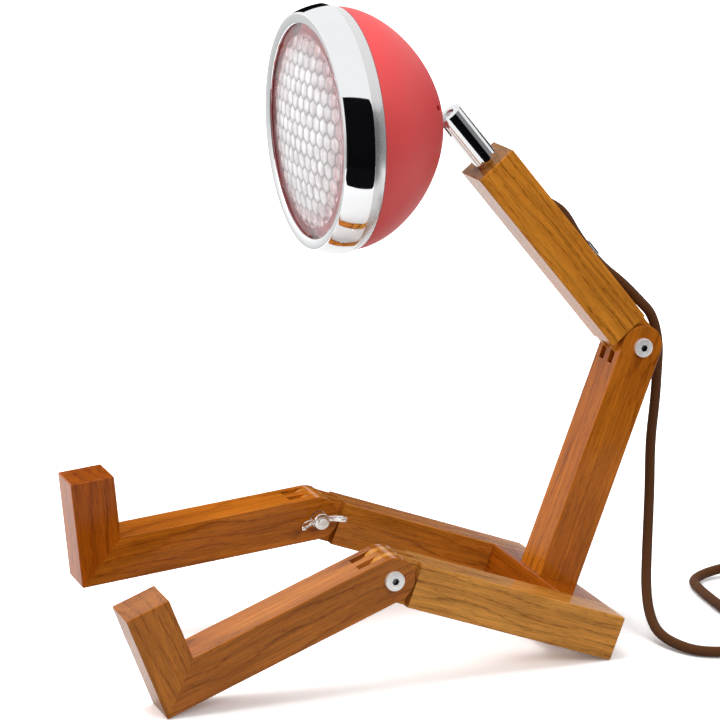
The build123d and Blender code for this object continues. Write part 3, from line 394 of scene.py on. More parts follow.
def glass_finish():
    """Pressed glass: milky in the cells, with painted shade along their borders, clear at the rim with a
    painted reflection of the red dome, and a painted glow in the middle.
    """
    glass = Finish("lens_glass", IOR=1.48)
    place = glass.millimetres()
    ripple = glass.noise(place, 0.35, 2.0)
    groove = glass.add("Attribute", attribute_name="groove").outputs["Fac"]
    spot = glass.measure("DISTANCE", glass.place(), BALL + ahead(HEAD_SLOPE) * LENS_AHEAD)
    decimetres = glass.times(spot, 10.0)
    milk_and_glow = glass.ramp(decimetres, (0.34, 0.72), (0.52, 0.36), (0.60, 0.04))
    # Towards the rim the glass takes a painted reflection of the red dome.
    tint = glass.ramp(decimetres, (0.47, LENS_CLEAR), (0.56, LENS_DOME_REFLECTION))
    flow = glass.noise(glass.mapped(place, Scale=(0.16, 0.16, 0.09)), 1.0, 3.0, 0.6)
    tint = glass.mix(glass.ramp(flow, (0.45, 0.0), (0.63, 0.8)), tint, LENS_CLOUD)
    # Painted shade along the cells' borders.
    tint = glass.mix(groove, tint, LENS_GROOVE_SHADE)
    glass.feed("Base Color", tint)
    # Painted glow: the milky middle emits light of its own, though it is no lamp.
    glass.feed("Emission Color", tint)
    glass.feed("Emission Strength", glass.times(milk_and_glow, LENS_PAINTED_GLOW))
    glass.feed("Transmission Weight", glass.maths("SUBTRACT", 1.0, milk_and_glow))
    glass.feed("Roughness", glass.ramp(ripple, (0.3, 0.02), (0.7, 0.06)))
    glass.bump(ripple, 0.00004, 0.35)
    return glass.material


STRANDS_ROUND = 8


def textile_finish(colour, radius):
    """A braided sleeve: two sets of strands that cross round the cord."""
    textile = Finish("cord_textile", Sheen_Weight=0.06, Sheen_Roughness=0.4, Specular_IOR_Level=0.25)
    split = textile.add("SeparateXYZ", {0: textile.add("TexCoord").outputs["UV"]})
    strands = STRANDS_ROUND * 2 * pi / (2 * pi * radius)
    along = textile.times(split.outputs["X"], strands)
    around = textile.times(split.outputs["Y"], strands)
    left = textile.maths("SINE", textile.maths("ADD", along, around))
    right = textile.maths("SINE", textile.maths("SUBTRACT", along, around))
    over = textile.maths("GREATER_THAN", textile.times(left, right), 0.0)
    strand = textile.maths("ADD", textile.maths("ABSOLUTE", left), textile.maths("ABSOLUTE", right))
    strand = textile.times(strand, 0.5)
    thread = textile.noise(textile.millimetres(), 2.2, 3.0)
    # Painted highlight and painted shade: the strands' crowns are made lighter and the gaps between them
    # darker; the thread noise then darkens threads at random.
    deep = scaled(colour, 0.45)
    tone = textile.mix(strand, deep, scaled(colour, 1.7))
    tone = textile.mix(textile.times(over, 0.3), tone, colour)
    tone = textile.mix(textile.times(thread, 0.35), tone, deep)
    textile.feed("Base Color", tone)
    textile.feed("Roughness", textile.ramp(thread, (0.3, 0.7), (0.7, 0.9)))
    textile.bump(strand, 0.00035, 0.8)
    return textile.material


def moulded_finish(name, colour, roughness=0.38, grain=0.00003):
    """Moulded plastic or rubber with a fine grain."""
    plastic = Finish(name)
    place = plastic.millimetres()
    cloud = plastic.noise(place, 0.08, 3.0)
    plastic.feed("Base Color", plastic.mix(cloud, colour, scaled(colour, 1.12)))
    plastic.feed("Roughness", plastic.ramp(cloud, (0.3, roughness), (0.7, roughness + 0.1)))
    plastic.bump(plastic.noise(place, 3.0, 2.0), grain, 0.6)
    return plastic.material


def paint(material, *nodes):
    """Give CAD nodes one finish."""
    for name in nodes:
        mesh = frame["nodes"][name].data
        mesh.materials.clear()
        mesh.materials.append(material)


# ---- modelling by hand


def add_object(name, data):
    """A new object in the scene."""
    piece = bpy.data.objects.new(name, data)
    bpy.context.scene.collection.objects.link(piece)
    return piece


def leave_edit():
    bpy.ops.object.mode_set(mode="OBJECT")


def start_clean():
    if bpy.context.object and bpy.context.object.mode != "OBJECT":
        leave_edit()
    bpy.ops.object.select_all(action="DESELECT")


def edit_all():
    """Start to edit the active piece, with all of it selected."""
    bpy.ops.object.mode_set(mode="EDIT")
    bpy.ops.mesh.select_all(action="SELECT")


def pull(move):
    """Extrude what is selected, in edit mode, and leave the new end selected."""
    bpy.ops.mesh.extrude_region_move(TRANSFORM_OT_translate={"value": move})


def face_outwards():
    bpy.ops.mesh.select_all(action="SELECT")
    bpy.ops.mesh.normals_make_consistent(inside=False)


def settle():
    """Write the active piece's place into its points."""
    bpy.ops.object.transform_apply(location=True, rotation=True, scale=True)


def cylinder(vertices, radius, depth, place):
    """A cylinder that lies across the lamp."""
    start_clean()
    bpy.ops.mesh.primitive_cylinder_add(
        vertices=vertices, radius=radius, depth=depth, location=place, rotation=(0, pi / 2, 0)
    )
    return bpy.context.object


def finished(name, node, angle, material=None):
    """Name the active piece, smooth it, and let it stand for its CAD node."""
    piece = bpy.context.object
    piece.name = name
    piece.data.name = name
    settle()
    bpy.ops.object.shade_smooth_by_angle(angle=radians(angle))
    if material:
        piece.data.materials.append(material)
    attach(piece, body_of(frame["nodes"][node])[0])
    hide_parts(node)


def picked(mesh, kind, test):
    """Select the faces that a test of middle and normal accepts, or the edges by middle and edge."""
    shape = bmesh.from_edit_mesh(mesh)
    bpy.ops.mesh.select_all(action="DESELECT")
    if kind == "faces":
        chosen = [face for face in shape.faces if test(face.calc_center_median(), face.normal)]
    else:
        chosen = [edge for edge in shape.edges if test((edge.verts[0].co + edge.verts[1].co) / 2, edge)]
    for item in chosen:
        item.select = True
    shape.select_flush(True)
    bmesh.update_edit_mesh(mesh)


def cut(piece, tool, operation):
    """Cut or join one solid with another, which is used up."""
    modifier = piece.modifiers.new(operation, "BOOLEAN")
    modifier.object = tool
    modifier.operation = operation
    modifier.solver = "EXACT"
    start_clean()
    piece.select_set(True)
    bpy.context.view_layer.objects.active = piece
    bpy.ops.object.modifier_apply(modifier=modifier.name)
    bpy.data.objects.remove(tool)


def chain(points):
    """A chain of edges, extruded from point to point."""
    start_clean()
    bpy.ops.mesh.primitive_plane_add(size=0.001, location=points[0])
    edit_all()
    bpy.ops.mesh.merge(type="CENTER")
    for before, after in zip(points, points[1:]):
        pull(after - before)
    leave_edit()
    settle()


def turned(base, slope, outline, steps=144):
    """Turn a closed outline of (station, radius) points, in millimetres, about a slope through a base."""
    axis, lift = ahead(slope), lifted(slope)
    chain([base + axis * station / 1000 + lift * radius / 1000 for station, radius in outline])
    edit_all()
    bpy.ops.mesh.edge_face_add()
    bpy.ops.mesh.delete(type="ONLY_FACE")
    bpy.ops.mesh.select_all(action="SELECT")
    bpy.ops.mesh.spin(steps=steps, angle=2 * pi, center=base, axis=axis)
    bpy.ops.mesh.select_all(action="SELECT")
    bpy.ops.mesh.remove_doubles(threshold=0.000005)
    face_outwards()
    leave_edit()
    return bpy.context.object


# ---- the stage

CAMERA_LENS = 154.38
CAMERA_PLACE = (1.711036, -0.661029, 0.657159)
# The camera's right, its up and its back.
CAMERA_AXES = ((0.354897, 0.934906, 0), (-0.233833, 0.088765, 0.968216), (0.905191, -0.343617, 0.250114))
SKY_LEVEL = 0.22
SKY_RISE = 0.32
LIGHTS = (
    # name, side in metres, brightness of its face, where it stands, whether mirrors show it
    ("overhead", 0.90, 4.5, (-0.10, -0.25, 1.45), False),
    ("front", 1.0, 4.6, (-0.55, -1.60, 0.75), True),
    ("fill", 0.8, 4.4, (1.45, 0.35, 1.15), False),
)
# The point that every light is turned to.
LIGHT_AIM = Vector((0, 0.05, 0.15))
FLOOR_SIDE = 14.0
# How far the floor lies below the feet, so that they don't share a face.
FLOOR_DROP = 0.0004
# The floor's glow at the lamp, and the distances between which it rises to plain white.
FLOOR_GLOW = 0.06
FLOOR_FADE = (0.25, 0.95)
# The floor's tone in scattered light, in mirrors and to the camera.
FLOOR_BOUNCE = 0.42
FLOOR_MIRRORED = 0.85
FLOOR_SEEN = 1.5
CARD_BLACK = (0.004, 0.004, 0.005, 1)
CARD_GLOW = 0.24
CARDS = (
    # name, whether it is dim rather than dark, its corners in turn
    ("upright", False, ((0.79, -0.75, 0), (0.62, 0.57, 0), (0.62, 0.57, 0.62), (0.79, -0.75, 1.04))),
    ("flat", False, (
        (0.37, -0.45, 0.0006), (0.37, 0.45, 0.0006), (0.62, 0.57, 0.0006), (0.79, -0.75, 0.0006),
    )),
    ("side", True, ((0.62, 0.57, 0), (0.26, 0.98, 0), (0.26, 0.98, 0.62), (0.62, 0.57, 0.62))),
    ("far", False, ((-1.2, -0.75, 0.62), (-1.27, -0.28, 0.62), (-1.27, -0.28, 0.92), (-1.2, -0.75, 0.92))),
    ("back", False, ((-1.467, 0.312, 0), (-0.923, 1.18, 0), (-0.923, 1.18, 0.42), (-1.467, 0.312, 0.42))),
    ("corner", False, ((-0.923, 1.18, 0), (-0.10, 1.50, 0), (-0.10, 1.50, 0.70), (-0.923, 1.18, 0.70))),
    ("high", False, ((-1.50, 0.08, 0.42), (-1.43, 0.44, 0.42), (-1.43, 0.44, 0.95), (-1.50, 0.08, 0.95))),
)
# The surround's glow falls along X between these places, and rises with the height.
SURROUND_REACH = (-1.2, 0.9)
SURROUND_GLOW = (0.7, 0.3)
SURROUND_RISE = 1.3
# It opens from this radius to so many times as much, and then rises.
SURROUND_RADIUS = 0.8
SURROUND_SPREAD = 2.0
SURROUND_HEIGHT = 0.6
WHITE = (1, 1, 1, 1)


class LAMP_OT_stage(bpy.types.Operator):
    """Add the camera, the floor, the lights and what the bright metal mirrors"""

    bl_idname = "lamp.stage"
    bl_label = "Stage"

    def execute(self, context):
        scene = context.scene
        scene.view_settings.view_transform = "Standard"
        self.add_camera(scene)
        self.add_floor()
        self.light_world(scene)
        self.add_lights()
        self.add_cards()
        self.add_surround()
        return {"FINISHED"}

    def add_camera(self, scene):
        camera = bpy.data.cameras.new("Camera")
        camera.lens = CAMERA_LENS
        camera.sensor_width = 36.0
        camera.clip_end = 20.0
        holder = add_object("Camera", camera)
        turn = Matrix(CAMERA_AXES).transposed().to_4x4()
        holder.matrix_world = Matrix.Translation(CAMERA_PLACE) @ turn
        scene.camera = holder

    def add_floor(self):
        """Paper that fades to plain white away from the lamp's shadow."""
        start_clean()
        bpy.ops.mesh.primitive_plane_add(size=FLOOR_SIDE, location=(0, 0, -FLOOR_DROP))
        floor = bpy.context.object
        floor.name = "floor"
        pale = bpy.data.materials.new("floor_pale")
        graph = Graph(pale, bare=True)
        ray = graph.add("LightPath").outputs
        away = graph.measure("LENGTH", graph.place())
        fade = graph.spread(away, FLOOR_FADE, (FLOOR_GLOW, 1.0), interpolation_type="SMOOTHSTEP")
        # The camera sees the paper as overexposed, so that only the deeper shadows stay.
        tone = graph.mix(ray["Is Glossy Ray"], (FLOOR_BOUNCE,) * 3, (FLOOR_MIRRORED,) * 3)
        tone = graph.mix(ray["Is Camera Ray"], tone, (FLOOR_SEEN,) * 3)
        cloth = graph.add("BsdfDiffuse", {"Color": tone})
        glow = graph.add("Emission", {"Strength": graph.times(graph.plain_view(ray), fade)})
        both = graph.add("AddShader", {0: cloth.outputs[0], 1: glow.outputs[0]})
        graph.add("OutputMaterial", {"Surface": both.outputs[0]})
        floor.data.materials.append(pale)

    def light_world(self, scene):
        """A sky that is brighter overhead than at its edge, and plain white where it is seen."""
        world = bpy.data.worlds.new("studio")
        scene.world = world
        graph = Graph(world, bare=True)
        seen = graph.plain_view(graph.add("LightPath").outputs)
        split = graph.add("SeparateXYZ", {0: graph.add("TexCoord").outputs["Generated"]})
        rise = graph.maths("MULTIPLY_ADD", split.outputs["Z"], SKY_RISE, SKY_LEVEL, use_clamp=True)
        soft = graph.add("Background", {"Color": WHITE, "Strength": rise})
        white = graph.add("Background", {"Color": WHITE, "Strength": 1.0})
        blend = graph.add("MixShader", {0: seen, 1: soft.outputs[0], 2: white.outputs[0]})
        graph.add("OutputWorld", {"Surface": blend.outputs[0]})

    def add_lights(self):
        for name, side, brightness, place, mirrored in LIGHTS:
            light = bpy.data.lights.new(name, "AREA")
            light.shape = "SQUARE"
            light.size = side
            light.energy = brightness * pi * side**2
            holder = add_object(name, light)
            holder.visible_glossy = mirrored
            turn = (Vector(place) - LIGHT_AIM).to_track_quat("Z", "Y").to_matrix().to_4x4()
            holder.matrix_world = Matrix.Translation(place) @ turn

    def add_cards(self):
        """Cards round the table, seen only in mirrors: they draw the dark bands on bright metal."""
        dark = Finish("card_dark", Base_Color=CARD_BLACK, Specular_IOR_Level=0.0)
        dim = Finish(
            "card_dim", Base_Color=CARD_BLACK, Specular_IOR_Level=0.0, Emission_Color=WHITE,
            Emission_Strength=CARD_GLOW,
        )
        for name, glows, corners in CARDS:
            start_clean()
            bpy.ops.mesh.primitive_plane_add(size=1.0)
            card = bpy.context.object
            card.name = "card_" + name
            for index, corner in zip((0, 1, 3, 2), corners):
                card.data.vertices[index].co = corner
            card.data.materials.append((dim if glows else dark).material)
            self.keep_to_mirrors(card)

    def keep_to_mirrors(self, piece):
        for ray in ("camera", "diffuse", "transmission", "shadow", "volume_scatter"):
            setattr(piece, "visible_" + ray, False)

    def add_surround(self):
        """The room round the table, which only mirrors show: it dims towards the horizon."""
        start_clean()
        bpy.ops.mesh.primitive_circle_add(vertices=64, radius=SURROUND_RADIUS, location=(0, 0, 0.0004))
        surround = bpy.context.object
        surround.name = "surround"
        edit_all()
        bpy.ops.mesh.extrude_edges_move()
        bpy.ops.transform.resize(value=(SURROUND_SPREAD, SURROUND_SPREAD, 1), center_override=(0, 0, 0))
        bpy.ops.mesh.extrude_edges_move(TRANSFORM_OT_translate={"value": (0, 0, SURROUND_HEIGHT)})
        leave_edit()
        grey = bpy.data.materials.new("surround_grey")
        graph = Graph(grey, bare=True)
        split = graph.add("SeparateXYZ", {0: graph.place()})
        level = graph.spread(split.outputs["X"], SURROUND_REACH, SURROUND_GLOW)
        rise = graph.maths("MULTIPLY_ADD", split.outputs["Z"], SURROUND_RISE, level)
        glow = graph.add("Emission", {"Strength": rise})
        graph.add("OutputMaterial", {"Surface": glow.outputs[0]})
        surround.data.materials.append(grey)
        self.keep_to_mirrors(surround)


# ---- the cord


def coil_points():
    """Clockwise turns that climb the outside, cross over and come down the inside of the coil."""
    total = COIL_TURNS * 360 + COIL_OVERRUN
    # A curve of this kind runs inside its control points, by this share of the radius.
    swell = 2 / (cos(radians(COIL_STEP / 2)) + (3 + cos(radians(COIL_STEP))) / 4)
    points = []
    angle = COIL_STEP
    while angle < total - COIL_STEP / 2:
        turn = int(angle // 360)
        inside = angle - 360 * turn
        # The last shift comes first in each turn, so that every place is free before it is filled.
        shift_start = COIL_SHIFT_START + COIL_SHIFT_LAG * (COIL_TURNS - 1 - turn)
        share = ease((inside - shift_start) / COIL_SHIFT_RUN)
        if turn >= COIL_TURNS:
            radius, height = COIL_PLACES[-1]
        else:
            low, high = COIL_PLACES[turn], COIL_PLACES[turn + 1]
            radius = low[0] + (high[0] - low[0]) * share
            height = low[1] + (high[1] - low[1]) * share
        theta = radians(COIL_FIRST - angle)
        spoke = Vector((cos(theta), sin(theta), 0))
        points.append(COIL_MIDDLE + spoke * radius * swell / 1000 + Vector((0, 0, height / 1000)))
        angle += COIL_STEP
    return points


def smooth_line(name, points):
    """The points of a smooth curve that runs along a route."""
    curve = bpy.data.curves.new(name, "CURVE")
    curve.dimensions = "3D"
    curve.resolution_u = 6
    spline = curve.splines.new("NURBS")
    spline.points.add(len(points) - 1)
    for place, point in zip(spline.points, points):
        place.co = (*point, 1)
    spline.order_u = 3
    spline.use_endpoint_u = True
    guide = add_object(name, curve)
    bpy.context.view_layer.update()
    mesh = bpy.data.meshes.new_from_object(guide)
    line = [vertex.co.copy() for vertex in mesh.vertices]
    bpy.data.meshes.remove(mesh)
    bpy.data.objects.remove(guide)
    bpy.data.curves.remove(curve)
    return line


def sleeve(name, line, radius, sides=18):
    """A round closed tube round a line, with its length and its way round in metres as UVs."""
    vertices, faces, uvs, runs = [], [], [], []
    onward = (line[1] - line[0]).normalized()
    up = Vector((0, 0, 1)) if abs(onward.z) < 0.9 else Vector((0, 1, 0))
    side = onward.cross(up).normalized()
    run = 0.0
    for index, point in enumerate(line):
        before = line[max(index - 1, 0)]
        after = line[min(index + 1, len(line) - 1)]
        onward = (after - before).normalized()
        side = (side - onward * side.dot(onward)).normalized()
        lift = side.cross(onward)
        run += (point - before).length
        runs.append(run)
        for step in range(sides):
            turn = 2 * pi * step / sides
            vertices.append(point + (side * cos(turn) + lift * sin(turn)) * radius)
    girth = 2 * pi * radius
    for ring in range(len(line) - 1):
        for step in range(sides):
            beside = (step + 1) % sides
            low, high = ring * sides, (ring + 1) * sides
            faces.append((low + step, low + beside, high + beside, high + step))
            left, right = girth * step / sides, girth * (step + 1) / sides
            start, end = runs[ring], runs[ring + 1]
            uvs += [(start, left), (start, right), (end, right), (end, left)]
    for ring, order in ((0, -1), (len(line) - 1, 1)):
        cap = [ring * sides + step for step in range(sides)]
        faces.append(tuple(cap[::order]))
        uvs += [(runs[ring], 0.0)] * sides
    mesh = bpy.data.meshes.new(name)
    mesh.from_pydata(vertices, [], faces)
    layer = mesh.uv_layers.new(name="UVMap")
    for corner, uv in zip(layer.data, uvs):
        corner.uv = uv
    for polygon in mesh.polygons:
        polygon.use_smooth = len(polygon.vertices) == 4
    mesh.update()
    return add_object(name, mesh)


class LAMP_OT_cord(bpy.types.Operator):
    """Lay the textile cord from the upper bar to its plug"""

    bl_idname = "lamp.cord"
    bl_label = "Cord"

    def execute(self, context):
        settings = context.scene.lamp
        radius = settings.cord_diameter / 2
        route = metres(MAIN_ROUTE) + metres(LINK_ROUTE) + coil_points() + metres(TAIL_ROUTE)
        line = smooth_line("cord_line", route)
        cord = sleeve("cord", line, radius)
        cord.data.materials.append(textile_finish(tuple(settings.textile), radius))
        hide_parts("cord_upper", "cord_bend", "cord_drop", "cord_link", "cord_coil", "cord_tail")
        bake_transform(cord, "upper_arm", "seat", BEND_START, BEND_END)
        return {"FINISHED"}


class LAMP_OT_fittings(bpy.types.Operator):
    """Finish the in-line switch, the plug and the coil's tie"""

    bl_idname = "lamp.fittings"
    bl_label = "Switch and plug"

    def execute(self, context):
        brown = moulded_finish("moulding_brown", tuple(context.scene.lamp.moulding))
        paint(brown, "switch_base", "switch_top", "plug_body")
        paint(moulded_finish("rocker_dark", linear(30, 22, 20), 0.3), "switch_rocker")
        paint(moulded_finish("tie_dark", linear(24, 22, 21), 0.8, 0.0002), "cord_tie")
        paint(metal_finish("pin_brass", linear(214, 178, 104), 0.18), "plug_pins")
        return {"FINISHED"}


# ---- wood

UPPER_END_TONE = (0.44, 0.50, 0.90)
LEFT = Vector((THIGH_X, 0, 0))
LEFT_SHIN, RIGHT_SHIN = SHIN_SLOPES["left"], SHIN_SLOPES["right"]
WOODS = {
    # piece: base, slope, tone, seed, the heart's place beside the bar
    "thigh_left": (SEAT_END + LEFT, SEAT_SLOPE, (0.70, 0.290, 0.050), 1.3, (6.0, 46.0)),
    "thigh_right": (SEAT_END - LEFT, SEAT_SLOPE, (0.58, 0.190, 0.020), 2.7, (-20.0, 60.0)),
    "hip_rail": (SEAT_END, SEAT_SLOPE, (0.46, 0.110, 0.006), 3.1, (30.0, 44.0)),
    "torso_bar": (TORSO_FOOT, TORSO_SLOPE, (0.55, 0.155, 0.010), 4.9, (52.0, -14.0)),
    "shin_left": (KNEE + LEFT, LEFT_SHIN, (0.47, 0.145, 0.018), 5.2, (8.0, 40.0)),
    "shin_right": (KNEE - LEFT, RIGHT_SHIN, (0.52, 0.145, 0.010), 6.6, (-16.0, 50.0)),
    "foot_left": (KNEE + LEFT, LEFT_SHIN + 90, (0.49, 0.155, 0.018), 7.4, (20.0, 40.0)),
    "foot_right": (KNEE - LEFT, RIGHT_SHIN + 90, (0.45, 0.100, 0.005), 8.8, (30.0, 36.0)),
    "upper_bar": (BACK_AXIS, UPPER_SLOPE, (0.68, 0.245, 0.024), 9.5, (4.0, 44.0)),
}


class LAMP_OT_bars(bpy.types.Operator):
    """Finish the wooden bars and their dowels"""

    bl_idname = "lamp.bars"
    bl_label = "Wooden bars"

    def execute(self, context):
        for name, (base, slope, tone, seed, heart) in WOODS.items():
            across, end = name == "hip_rail", UPPER_END_TONE if name == "upper_bar" else END_TONE
            paint(wood_finish("wood_" + name, base, slope, tone, seed, heart, across, end), name)
        dowel = wood_finish("wood_dowels", SEAT_END, 0.0, (0.60, 0.38, 0.17), 0.4, (20.0, 30.0))
        paint(dowel, "hip_dowels", "torso_dowels", "foot_dowels_left", "foot_dowels_right")
        return {"FINISHED"}


# ---- joint hardware

# Sizes in metres: radius and height or depth.
BOLT_HEAD = (0.006, 0.003)
BOLT_EDGE = 0.0006
BOLT_SOCKET = (0.00231, 0.002)
BOLT_SHANK = (0.0025, 0.040)
SHANK_EDGE = 0.0004
BOLTS = (
    # name, centre, the face it sits on, the way it points
    ("knee_bolt_left", KNEE, 0.081, 1),
    ("knee_bolt_right", KNEE, -0.081, -1),
    ("back_bolt", BACK_AXIS, 0.015, 1),
)
HUB = (0.00525, 0.007)
HUB_CONE = 0.0008
NUT_PLAY = 0.0001
WING_HALF = 0.0012
WING_BORDER = 0.0008
WING_HOLLOW = 0.0004
WING_EDGE = 0.00035
# A wing's outline in millimetres: out from the bolt, and away from the washer.
WING_OUTLINE = [
    (3.6, 0.7), (6.6, 1.0), (9.2, 2.0), (11.4, 3.4), (13.4, 5.3), (14.7, 7.2), (15.3, 9.2),
    (15.35, 10.7), (14.9, 11.7), (14.0, 12.1), (13.1, 12.0), (12.2, 11.5), (10.6, 10.2), (9.4, 8.6),
    (8.2, 6.9), (6.8, 5.9), (5.2, 5.6), (3.6, 5.6),
]
WING_NUTS = (
    # name, centre, the face it sits on, the way it points, the slope of its wings
    ("knee_wing_nut_left", KNEE, 0.050, -1, LEFT_SHIN),
    ("knee_wing_nut_right", KNEE, -0.050, 1, RIGHT_SHIN),
    ("back_wing_nut", BACK_AXIS, -0.016, -1, TORSO_SLOPE),
)
NEAR = 1e-5


def round_blank(sides, size, centre, face_x, outward, edge, steps):
    """A round blank that stands on a face, with its outer edge cut back, and where its top lies."""
    radius, height = size
    blank = cylinder(sides, radius, height, (face_x + outward * height / 2, centre.y, centre.z))
    settle()
    top = face_x + outward * height
    edit_all()
    picked(blank.data, "edges", lambda middle, line: abs(middle.x - top) < NEAR)
    bpy.ops.mesh.bevel(offset=edge, segments=steps)
    leave_edit()
    return blank, top


def bolt_piece(name, centre, face_x, outward, nickel, shade):
    """A low round head with a hexagon socket, and its shank."""
    head, top = round_blank(64, BOLT_HEAD, centre, face_x, outward, BOLT_EDGE, 5)
    head.data.materials.append(nickel)
    head.data.materials.append(shade)
    shank_radius, reach = BOLT_SHANK
    edit_all()
    picked(head.data, "faces", lambda middle, normal: normal.x * outward < -0.9)
    bpy.ops.mesh.inset(thickness=BOLT_HEAD[0] - shank_radius)
    pull((-outward * reach, 0, 0))
    bpy.ops.mesh.inset(thickness=SHANK_EDGE, depth=SHANK_EDGE)
    leave_edit()
    socket_radius, depth = BOLT_SOCKET
    cut(head, cylinder(6, socket_radius, 2 * depth, (top, centre.y, centre.z)), "DIFFERENCE")
    # The socket's faces take the dark finish: painted shade in the recess.
    for face in head.data.polygons:
        spot = face.center - Vector((0, centre.y, centre.z))
        inside = Vector((0, spot.y, spot.z)).length < socket_radius and abs(spot.x - top) < depth * 1.01
        face.material_index = 1 if inside and abs(spot.x - top) > NEAR else 0
    finished(name, name, 30.0)


def wing_nut_piece(name, centre, face_x, outward, slope, nickel):
    """A hub with a shallow ring, and two thin wings with a raised edge."""
    nut, _ = round_blank(48, HUB, centre, face_x, outward, HUB_CONE, 3)
    for sign in (-1, 1):
        spread = ahead(slope) * sign
        normal = spread.cross(Vector((outward, 0, 0)))
        corner = Vector((face_x, centre.y, centre.z)) - normal * WING_HALF
        rise = Vector((outward, 0, 0))
        chain([corner + spread * out / 1000 + rise * up / 1000 for out, up in WING_OUTLINE])
        wing = bpy.context.object
        edit_all()
        bpy.ops.mesh.edge_face_add()
        pull(normal * 2 * WING_HALF)
        face_outwards()
        for side in (-1, 1):
            picked(wing.data, "faces", lambda middle, facing: facing.dot(normal) * side > 0.9)
            bpy.ops.mesh.inset(thickness=WING_BORDER)
            bpy.ops.mesh.inset(thickness=WING_HOLLOW, depth=-WING_HOLLOW)
        leave_edit()
        edge = wing.modifiers.new("edge", "BEVEL")
        edge.width = WING_EDGE
        edge.segments = 3
        edge.angle_limit = radians(50)
        bpy.ops.object.modifier_apply(modifier="edge")
        cut(nut, wing, "UNION")
    place = (face_x + outward * HUB[1] / 2, centre.y, centre.z)
    cut(nut, cylinder(32, BOLT_SHANK[0] + NUT_PLAY, 4 * HUB[1], place), "DIFFERENCE")
    finished(name, name, 40.0, nickel)


class LAMP_OT_hardware(bpy.types.Operator):
    """Make the bolts and wing nuts, and finish the washers and screws"""

    bl_idname = "lamp.hardware"
    bl_label = "Joint hardware"

    def execute(self, context):
        nickel = metal_finish("nickel_satin", (0.95, 0.94, 0.92), 0.3, 0.00001, 0.55)
        bright = metal_finish("nickel_bright", (0.88, 0.87, 0.84), 0.17, 0.00001)
        # A dark finish that is painted shade in the bolts' sockets.
        shade = metal_finish("socket_painted_shade", (0.16, 0.17, 0.18), 0.25, 0.00002)
        for bolt in BOLTS:
            bolt_piece(*bolt, nickel, shade)
        for nut in WING_NUTS:
            wing_nut_piece(*nut, bright)
        paint(bright, "knee_washer_left", "knee_washer_right", "back_washer")
        plain = metal_finish("zinc_plain", (0.62, 0.62, 0.63), 0.35, 0.00002)
        paint(
            plain, "torso_screw", "disc_springs", "spring_nut", "stud_washer", "stud_nut", "holder_bracket",
            "holder_screws", "bezel_clips", "lens_clips", "ball_stud", "stud_collar",
        )
        paint(metal_finish("saddle_polished", (0.34, 0.33, 0.32), 0.12), "cord_clip", "cord_clip_nails")
        paint(moulded_finish("seal_black", (0.02, 0.02, 0.02), 0.6), "neck_o_ring")
        # The gasket is a real part; its dark red is a painted reflection of the red dome in the lens's rim.
        paint(moulded_finish("gasket_painted_reflection", (0.22, 0.025, 0.03), 0.5), "lens_gasket")
        paint(moulded_finish("nylon_white", (0.85, 0.85, 0.83), 0.3), "ball_seat")
        paint(moulded_finish("lead_white", (0.8, 0.79, 0.75), 0.5), "neck_lead", "head_lead")
        return {"FINISHED"}


class LAMP_OT_neck(bpy.types.Operator):
    """Finish the chromed neck tube"""

    bl_idname = "lamp.neck"
    bl_label = "Neck"

    def execute(self, context):
        paint(metal_finish("neck_chrome", (0.80, 0.81, 0.82), 0.03), "neck_tube")
        return {"FINISHED"}


# The bezel's section in millimetres, as (station from the ball, radius).
BEZEL_BACK = [(72.0, 71.85), (72.0, 72.75), (72.2, 72.92)]
BEZEL_STEP = [(79.35, 74.7), (79.5, 75.1), (79.75, 75.42), (80.1, 75.5)]
BEZEL_EDGE = [(96.1, 71.0), (96.4, 70.7), (96.5, 70.3), (96.44, 69.6)]
BEZEL_FRONT = [(95.6, 65.0), (95.4, 64.7), (95.1, 64.6), (94.15, 64.8), (95.2, 69.6), (79.6, 74.0)]
BAND_CROWN = 0.7
STRIP_CROWN = 0.25
# The lens in millimetres: the radius of its face and of its rim; the stations of the face's edge, the
# rim's front and the rim's back; its apex and how far it bulges; and its smooth back, ring by ring.
LENS_RIM = (58.0, 67.8)
LENS_FACE = (94.0, 93.6, 90.6)
LENS_APEX = 98.8
LENS_BULGE = 4.8
LENS_BACK = [
    (49.39, 91.69), (43.27, 92.65), (37.12, 93.48), (30.96, 94.19), (24.78, 94.77), (18.6, 95.22),
    (12.4, 95.54), (6.2, 95.74),
]
CELL_CUTS = 6
# Cells count as part of the face up to this share of a pitch beyond its edge.
CELL_OVERLAP = 0.6
# How wide the plain border inside the face's edge is, in metres.
LENS_FADE = 0.0025
# The shares of its height that a cell loses towards its straight edges and round about, the power of
# the first loss, and the share by which it is then let into the dome.
CELL_FALL, CELL_POWER, CELL_ROUNDING, CELL_DEPTH = 0.55, 2.5, 0.45, 0.35
# How closely the painted shade in the grooves keeps to the cells' edges.
GROOVE_POWER = 4
# How far the middle of the smooth back stands out from its last ring, in metres.
BACK_TIP = 0.00006


def crowned(start, end, crown, steps):
    """Points between two corners of a section, along a shallow arch."""
    first, last = Vector(start), Vector(end)
    along = last - first
    out = Vector((-along.y, along.x)).normalized()
    if out.y < 0:
        out = -out
    shares = [step / steps for step in range(1, steps)]
    return [tuple(first + along * share + out * crown * 4 * share * (1 - share)) for share in shares]


